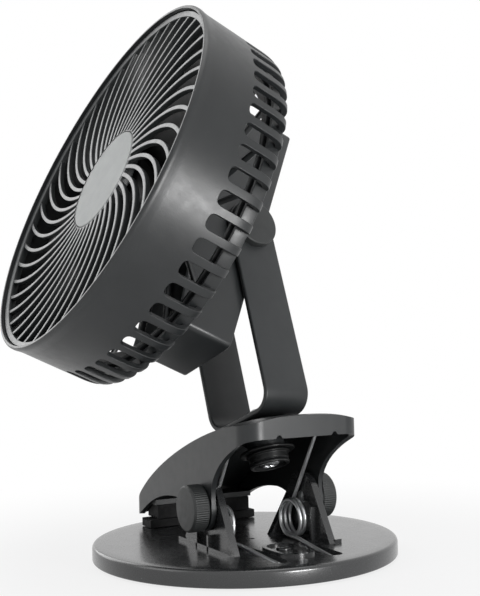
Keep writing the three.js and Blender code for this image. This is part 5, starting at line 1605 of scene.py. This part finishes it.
# ---- Tilt pivot ----
@dataclass
class TiltPivot(Assembly):
    """The two round knobs over the tilt screws, with their washers."""

    radius: float = 12.5
    near: float = 23.95
    far: float = 27.95

    def knob(self, side: int) -> Shape:
        """Low round knob along x with a softened edge.

        Args:
            side: 1 for the right one, -1 for the left one.

        Returns:
            The closed knob.
        """
        profile = [[0, self.near], [self.radius, self.near], [self.radius, self.far], [0, self.far]]
        shape = lathed(profile, [0, 0.3, 0.9, 0], 96, steps=5)
        return shape.turned([[0, 1, 0], [0, 0, side], [side, 0, 0]])

    def build(self) -> None:
        """Makes the knobs and washers on both sides."""
        for word, side in (("left", -1), ("right", 1)):
            self.add(f"tilt_knob_{word}_dressed", self.knob(side), FINISH.knob, "charcoal_plastic",
                     (f"tilt_knob_{word}",))
            ring = washer(2.8, 9.0, 20.3, 20.75, 0.1).turned([[0, 1, 0], [0, 0, side], [side, 0, 0]])
            self.add(f"tilt_washer_{word}_dressed", ring, FINISH.rubber, "black_rubber",
                     (f"tilt_washer_{word}",))
            self.dress(f"tilt_screw_{word}", FINISH.turned_steel)


# ---- Rear box ----
@dataclass
class RearBox(Assembly):
    """Slim box behind the head with its cover, button, lens, charging socket and contents."""

    half_width: float = 20.0
    top: float = 78.0
    bottom: float = -70.8
    front: float = 28.9
    back: float = -9.7
    slant: float = 6.84
    wall: float = 2.2
    corner: float = 3.0

    def outline(self, inset: float) -> np.ndarray:
        """Rounded rectangle of the box, drawn in by inset, with the same points for each inset.

        Args:
            inset: how far it is drawn in.

        Returns:
            Points (x, y), as many for each inset.
        """
        w, r = self.half_width - inset, max(self.corner - inset / 2, 0.8)
        low, high = self.bottom + inset, self.top - inset
        return softened([[-w, low], [w, low], [w, high], [-w, high]], r, 6)

    def cover_axes(self) -> Axes:
        """Frame on the slanted back: y up along it, z inwards.

        Returns:
            The frame, with its origin behind the tilt axis.
        """
        s = math.radians(self.slant)
        rows = np.array([[1, 0, 0], [0, math.cos(s), -math.sin(s)], [0, math.sin(s), math.cos(s)]])
        return Axes(AXES["head"].origin + self.back * MM * AXES["head"].rows[2], rows @ AXES["head"].rows)

    def case(self) -> Shape:
        """Box open at the back: loops of its outline from the front face to the inside.

        Each loop has an inset and a depth, either from the front or from the slanted back, whose
        depth falls with height by the tangent of the slant.

        Returns:
            The closed wall of the box.
        """
        tangent = math.tan(math.radians(self.slant))
        stages = [
            (1.6, 0, self.front), (0.8, 0, self.front - 0.1), (0.25, 0, self.front - 0.45),
            (0.0, 0, self.front - 1.2), (0.0, 1, 1.0), (0.08, 1, 0.5), (0.32, 1, 0.15),
            (0.8, 1, 0.0), (1.9, 1, 0.0), (2.15, 1, 0.1),
            (2.25, 1, 0.4), (self.wall, 1, 3.0), (self.wall, 0, self.front - self.wall),
        ]
        loops = []
        for inset, behind, depth in stages:
            line = self.outline(inset)
            z = self.back - line[:, 1] * tangent + depth if behind else np.full(len(line), depth)
            loops.append(np.column_stack([line, z]))
        n, m = len(loops), len(loops[0])
        caps = [np.arange(m)[None], (np.arange(m) + (n - 1) * m)[None, ::-1]]
        return Shape(np.concatenate(loops), [grid_faces(n, m, ring_columns=True)] + caps)

    def cover(self) -> Shape:
        """Flush cover pierced for the button, the lens and the charging socket.

        Returns:
            The plate and the posts that carry the board.
        """
        cosine = math.cos(math.radians(self.slant))
        plan = self.outline(2.5) * np.array([1, 1 / cosine])
        button = circle(6.3, 48, 0, 20 / cosine)
        lens = circle(1.8, 20, 0, 33 / cosine)
        socket = softened(
            [[-4.8, -42.0], [4.8, -42.0], [4.8, -38.0], [-4.8, -38.0]], 1.6, 6) * np.array([1, 1 / cosine])
        plate = pierced([plan, button, lens, socket], 0.0, self.wall)
        posts = [
            lathed([[1.2, 0], [2.8, 0], [2.8, depth], [1.2, depth]], 0.1, 20, closed=True).moved(y=v, z=2.0)
            for v, depth in ((-25 / cosine, 6.2), (45 / cosine, 13.2))
        ]
        return joined(plate, *posts)

    def button(self) -> Shape:
        """Round button with a dished face, its flange and its stem.

        Returns:
            The closed button.
        """
        r = np.linspace(0, 5.0, 8)
        face = np.column_stack([r, -1.0 + 0.55 * (1 - (r / 5.0) ** 2)])
        body = softened(
            [[5.0, -1.0], [6.0, -1.0], [6.0, 2.5], [7.2, 2.5], [7.2, 3.3], [1.8, 3.3], [1.8, 8.9], [0, 8.9]],
            [0, 0.5, 0.1, 0.2, 0.2, 0.1, 0.2, 0], 3, closed=False,
        )
        return turned_profile(np.concatenate([face, body[1:]]), 64)

    def socket(self) -> Shape:
        """Charging socket: a rounded tube with a tongue inside.

        Returns:
            The tube, its back and its tongue.
        """
        outer = softened([[-4.5, -1.7], [4.5, -1.7], [4.5, 1.7], [-4.5, 1.7]], 1.5, 6)
        inner = softened([[-4.1, -1.3], [4.1, -1.3], [4.1, 1.3], [-4.1, 1.3]], 1.1, 6)
        tube = pierced([outer, inner], -6.1, 1.7)
        back = extruded(inner * 1.02, 0.9, 1.5)
        tongue = extruded(rounded_bar(5.6, 0.7, 0.2), -5.4, 1.2)
        return joined(tube, back, tongue).moved(y=-40.0)

    def build(self) -> None:
        """Makes the box, its cover and its controls, and dresses what it holds."""
        tilted = self.cover_axes()
        cosine = math.cos(math.radians(self.slant))
        self.add("rear_box_dressed", self.case(), FINISH.housing, "charcoal_plastic", ("rear_box",),
                 Edge(angle=50))
        self.add("rear_cover_dressed", self.cover(), FINISH.housing, "charcoal_plastic", ("rear_cover",),
                 Edge(0.25, 2, 50), axes=tilted)
        self.add("usb_socket_dressed", self.socket(), FINISH.steel, "bright_steel", ("usb_socket",),
                 Edge(0.08, 1, 50))
        lens = lathed([[0, -0.3], [1.5, -0.3], [1.5, 3.0], [0, 3.0]], [0, 0.4, 0.1, 0], 32)
        lens = lens.moved(y=33 / cosine)
        self.add("indicator_lens_dressed", lens, FINISH.lens, "clear_lens", ("indicator_lens",),
                 axes=tilted)
        button = Assembly("button", tilted)
        button.add("power_button_dressed", self.button().moved(y=20 / cosine), FINISH.dark, "dark_plastic",
                   ("power_button",))
        for node in ("battery_cell_lower", "battery_cell_upper"):
            self.dress(node, FINISH.wrap)
        self.dress("circuit_board", FINISH.board)
        self.dress("tact_switch", FINISH.dark)
        board = [f"board_screw_{number}" for number in (1, 2)]
        for node in board + [f"box_screw_{number}" for number in (1, 2, 3, 4)]:
            self.dress(node, FINISH.steel)


# ---- Stage: floor, light and camera ----
@dataclass
class Studio:
    """Pale floor, soft lights and the camera at the photograph's viewing angle."""

    camera_place: tuple[float, float, float] = (0.438393, -0.233248, 0.102312)
    yaw: float = -0.04726
    pitch: float = 2.84072
    roll: float = 1.33911
    lens: float = 59.754
    middle: tuple[float, float, float] = (-0.01, -0.02, 0.13)
    soft_light: float = 0.3
    floor_radius: float = 3000.0
    floor_drop: float = -0.0003
    white_near: float = 0.09
    white_far: float = 0.30
    near_share: float = 0.80

    def camera(self) -> None:
        """Camera that looks across the base, with the fitted heading, pitch and roll."""
        place = np.array(self.camera_place)
        heading = math.atan2(-place[1], -place[0]) + math.radians(self.yaw)
        pitch, roll = math.radians(self.pitch), math.radians(self.roll)
        forward = np.array(
            [math.cos(heading) * math.cos(pitch), math.sin(heading) * math.cos(pitch), math.sin(pitch)]
        )
        right = unit(np.cross(forward, [0, 0, 1]))
        up = np.cross(right, forward)
        right, up = math.cos(roll) * right - math.sin(roll) * up, math.sin(roll) * right + math.cos(roll) * up
        data = bpy.data.cameras.new("photo_camera")
        data.lens, data.sensor_width, data.sensor_fit = self.lens, 36.0, "AUTO"
        data.clip_start, data.clip_end = 0.01, 20.0
        made = bpy.data.objects.new("photo_camera", data)
        turned = Matrix(np.column_stack([right, up, -forward]).tolist()).to_4x4()
        made.matrix_world = Matrix.Translation(place.tolist()) @ turned
        bpy.context.scene.collection.objects.link(made)
        bpy.context.scene.camera = made

    def lamp(self, name: str, place: tuple[float, float, float], size: float, power: float) -> None:
        """Soft square lamp that faces the middle of the fan.

        Args:
            name: the lamp's name.
            place: where it stands, in metres.
            size: length of its side, in metres.
            power: its power, in watts.
        """
        data = bpy.data.lights.new(name, "AREA")
        data.shape, data.size, data.energy = "SQUARE", size, power
        made = bpy.data.objects.new(name, data)
        made.visible_camera = False
        toward = Vector(self.middle) - Vector(place)
        made.matrix_world = Matrix.Translation(place) @ toward.to_track_quat("-Z", "Y").to_matrix().to_4x4()
        bpy.context.scene.collection.objects.link(made)

    @staticmethod
    def white_to_camera(nodes: bpy.types.Nodes, links: bpy.types.NodeLinks) -> bpy.types.NodeSocket:
        """A value that is 1 for camera, glossy and transmission rays and 0 for the light itself.

        Args:
            nodes: the nodes of the material or world.
            links: their links.

        Returns:
            The socket with that value.
        """
        path = nodes.new("ShaderNodeLightPath")
        total = path.outputs["Is Camera Ray"]
        for name in ("Is Glossy Ray", "Is Transmission Ray"):
            both = nodes.new("ShaderNodeMath")
            both.operation = "MAXIMUM"
            links.new(total, both.inputs[0])
            links.new(path.outputs[name], both.inputs[1])
            total = both.outputs["Value"]
        return total

    def world(self) -> None:
        """White world to the camera and in reflections, and a soft grey one as a light."""
        world = bpy.data.worlds.new("studio")
        world.use_nodes = True
        bpy.context.scene.world = world
        nodes, links = world.node_tree.nodes, world.node_tree.links
        out = nodes["World Output"]
        soft = nodes["Background"]
        soft.inputs["Color"].default_value = (0.9, 0.92, 0.95, 1)
        soft.inputs["Strength"].default_value = self.soft_light
        white = nodes.new("ShaderNodeBackground")
        white.inputs["Color"].default_value = (1, 1, 1, 1)
        white.inputs["Strength"].default_value = 1.0
        mix = nodes.new("ShaderNodeMixShader")
        links.new(self.white_to_camera(nodes, links), mix.inputs["Fac"])
        links.new(soft.outputs["Background"], mix.inputs[1])
        links.new(white.outputs["Background"], mix.inputs[2])
        links.new(mix.outputs["Shader"], out.inputs["Surface"])

    def floor(self) -> None:
        """Large pale disc that keeps the fan's shadow and turns to plain white further out."""
        shape = turned_profile(np.array([[self.floor_radius, 0.0], [0.0, 0.0]]), 96)
        made = mesh_object("floor", shape.points * MM + np.array([0, 0, self.floor_drop]), shape.faces)
        pale = bpy.data.materials.new("pale_floor")
        pale.use_nodes = True
        nodes, links = pale.node_tree.nodes, pale.node_tree.links
        shader = nodes["Principled BSDF"]
        shader.inputs["Base Color"].default_value = (0.86, 0.86, 0.86, 1)
        shader.inputs["Roughness"].default_value = 0.6
        shader.inputs["Specular IOR Level"].default_value = 0.2
        glow = nodes.new("ShaderNodeEmission")
        glow.inputs["Color"].default_value = (1, 1, 1, 1)
        mix = nodes.new("ShaderNodeMixShader")
        place = nodes.new("ShaderNodeTexCoord").outputs["Object"]
        away = nodes.new("ShaderNodeVectorMath")
        away.operation = "LENGTH"
        links.new(place, away.inputs[0])
        share = nodes.new("ShaderNodeMapRange")
        share.interpolation_type = "SMOOTHSTEP"
        share.inputs["From Min"].default_value = self.white_near
        share.inputs["From Max"].default_value = self.white_far
        share.inputs["To Min"].default_value = self.near_share
        share.inputs["To Max"].default_value = 1.0
        links.new(away.outputs["Value"], share.inputs["Value"])
        scale = nodes.new("ShaderNodeMath")
        scale.operation = "MULTIPLY"
        links.new(self.white_to_camera(nodes, links), scale.inputs[0])
        links.new(share.outputs["Result"], scale.inputs[1])
        links.new(scale.outputs["Value"], mix.inputs["Fac"])
        links.new(shader.outputs["BSDF"], mix.inputs[1])
        links.new(glow.outputs["Emission"], mix.inputs[2])
        links.new(mix.outputs["Shader"], nodes["Material Output"].inputs["Surface"])
        made.data.materials.append(pale)
        made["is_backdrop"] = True

    def build(self) -> None:
        """Sets the view, the lights, the floor and the camera."""
        bpy.context.scene.view_settings.view_transform = "Standard"
        self.world()
        self.floor()
        self.lamp("front", (-0.1, -0.95, 0.6), 0.6, 1.8)
        self.lamp("right_side", (0.56, 0.09, 0.05), 0.16, 2.6)
        self.lamp("left_side", (-0.95, -0.36, 0.57), 0.75, 3.3)
        self.lamp("overhead", (0.1, 0.1, 1.1), 0.7, 2.6)
        self.camera()


def corners(pair: tuple) -> list[list[float]]:
    """Two corners as plain lists of metres."""
    return [[round(float(v), 6) for v in corner] for corner in pair]


def main() -> None:
    logging.basicConfig(level=logging.INFO, format="%(message)s")
    before = corners(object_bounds())
    assemblies: list[Assembly] = [
        Base("base", AXES["base"]),
        Hinge("base", AXES["base"]),
        Lever("clip", AXES["hinge"]),
        Swivel("clip", AXES["swivel"]),
        Yoke("bracket", AXES["yoke"]),
        Head("head", AXES["head"]),
        Impeller("rotor", AXES["head"]),
        TiltPivot("head", AXES["head"]),
        RearBox("head", AXES["head"]),
    ]
    for assembly in assemblies:
        assembly.build()
        log.info("%s: %d pieces", type(assembly).__name__, len(assembly.made))
    Studio().build()
    after = corners(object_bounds())
    log.info("CAD %s, visual %s", before, after)


if __name__ == "__main__":
    main()
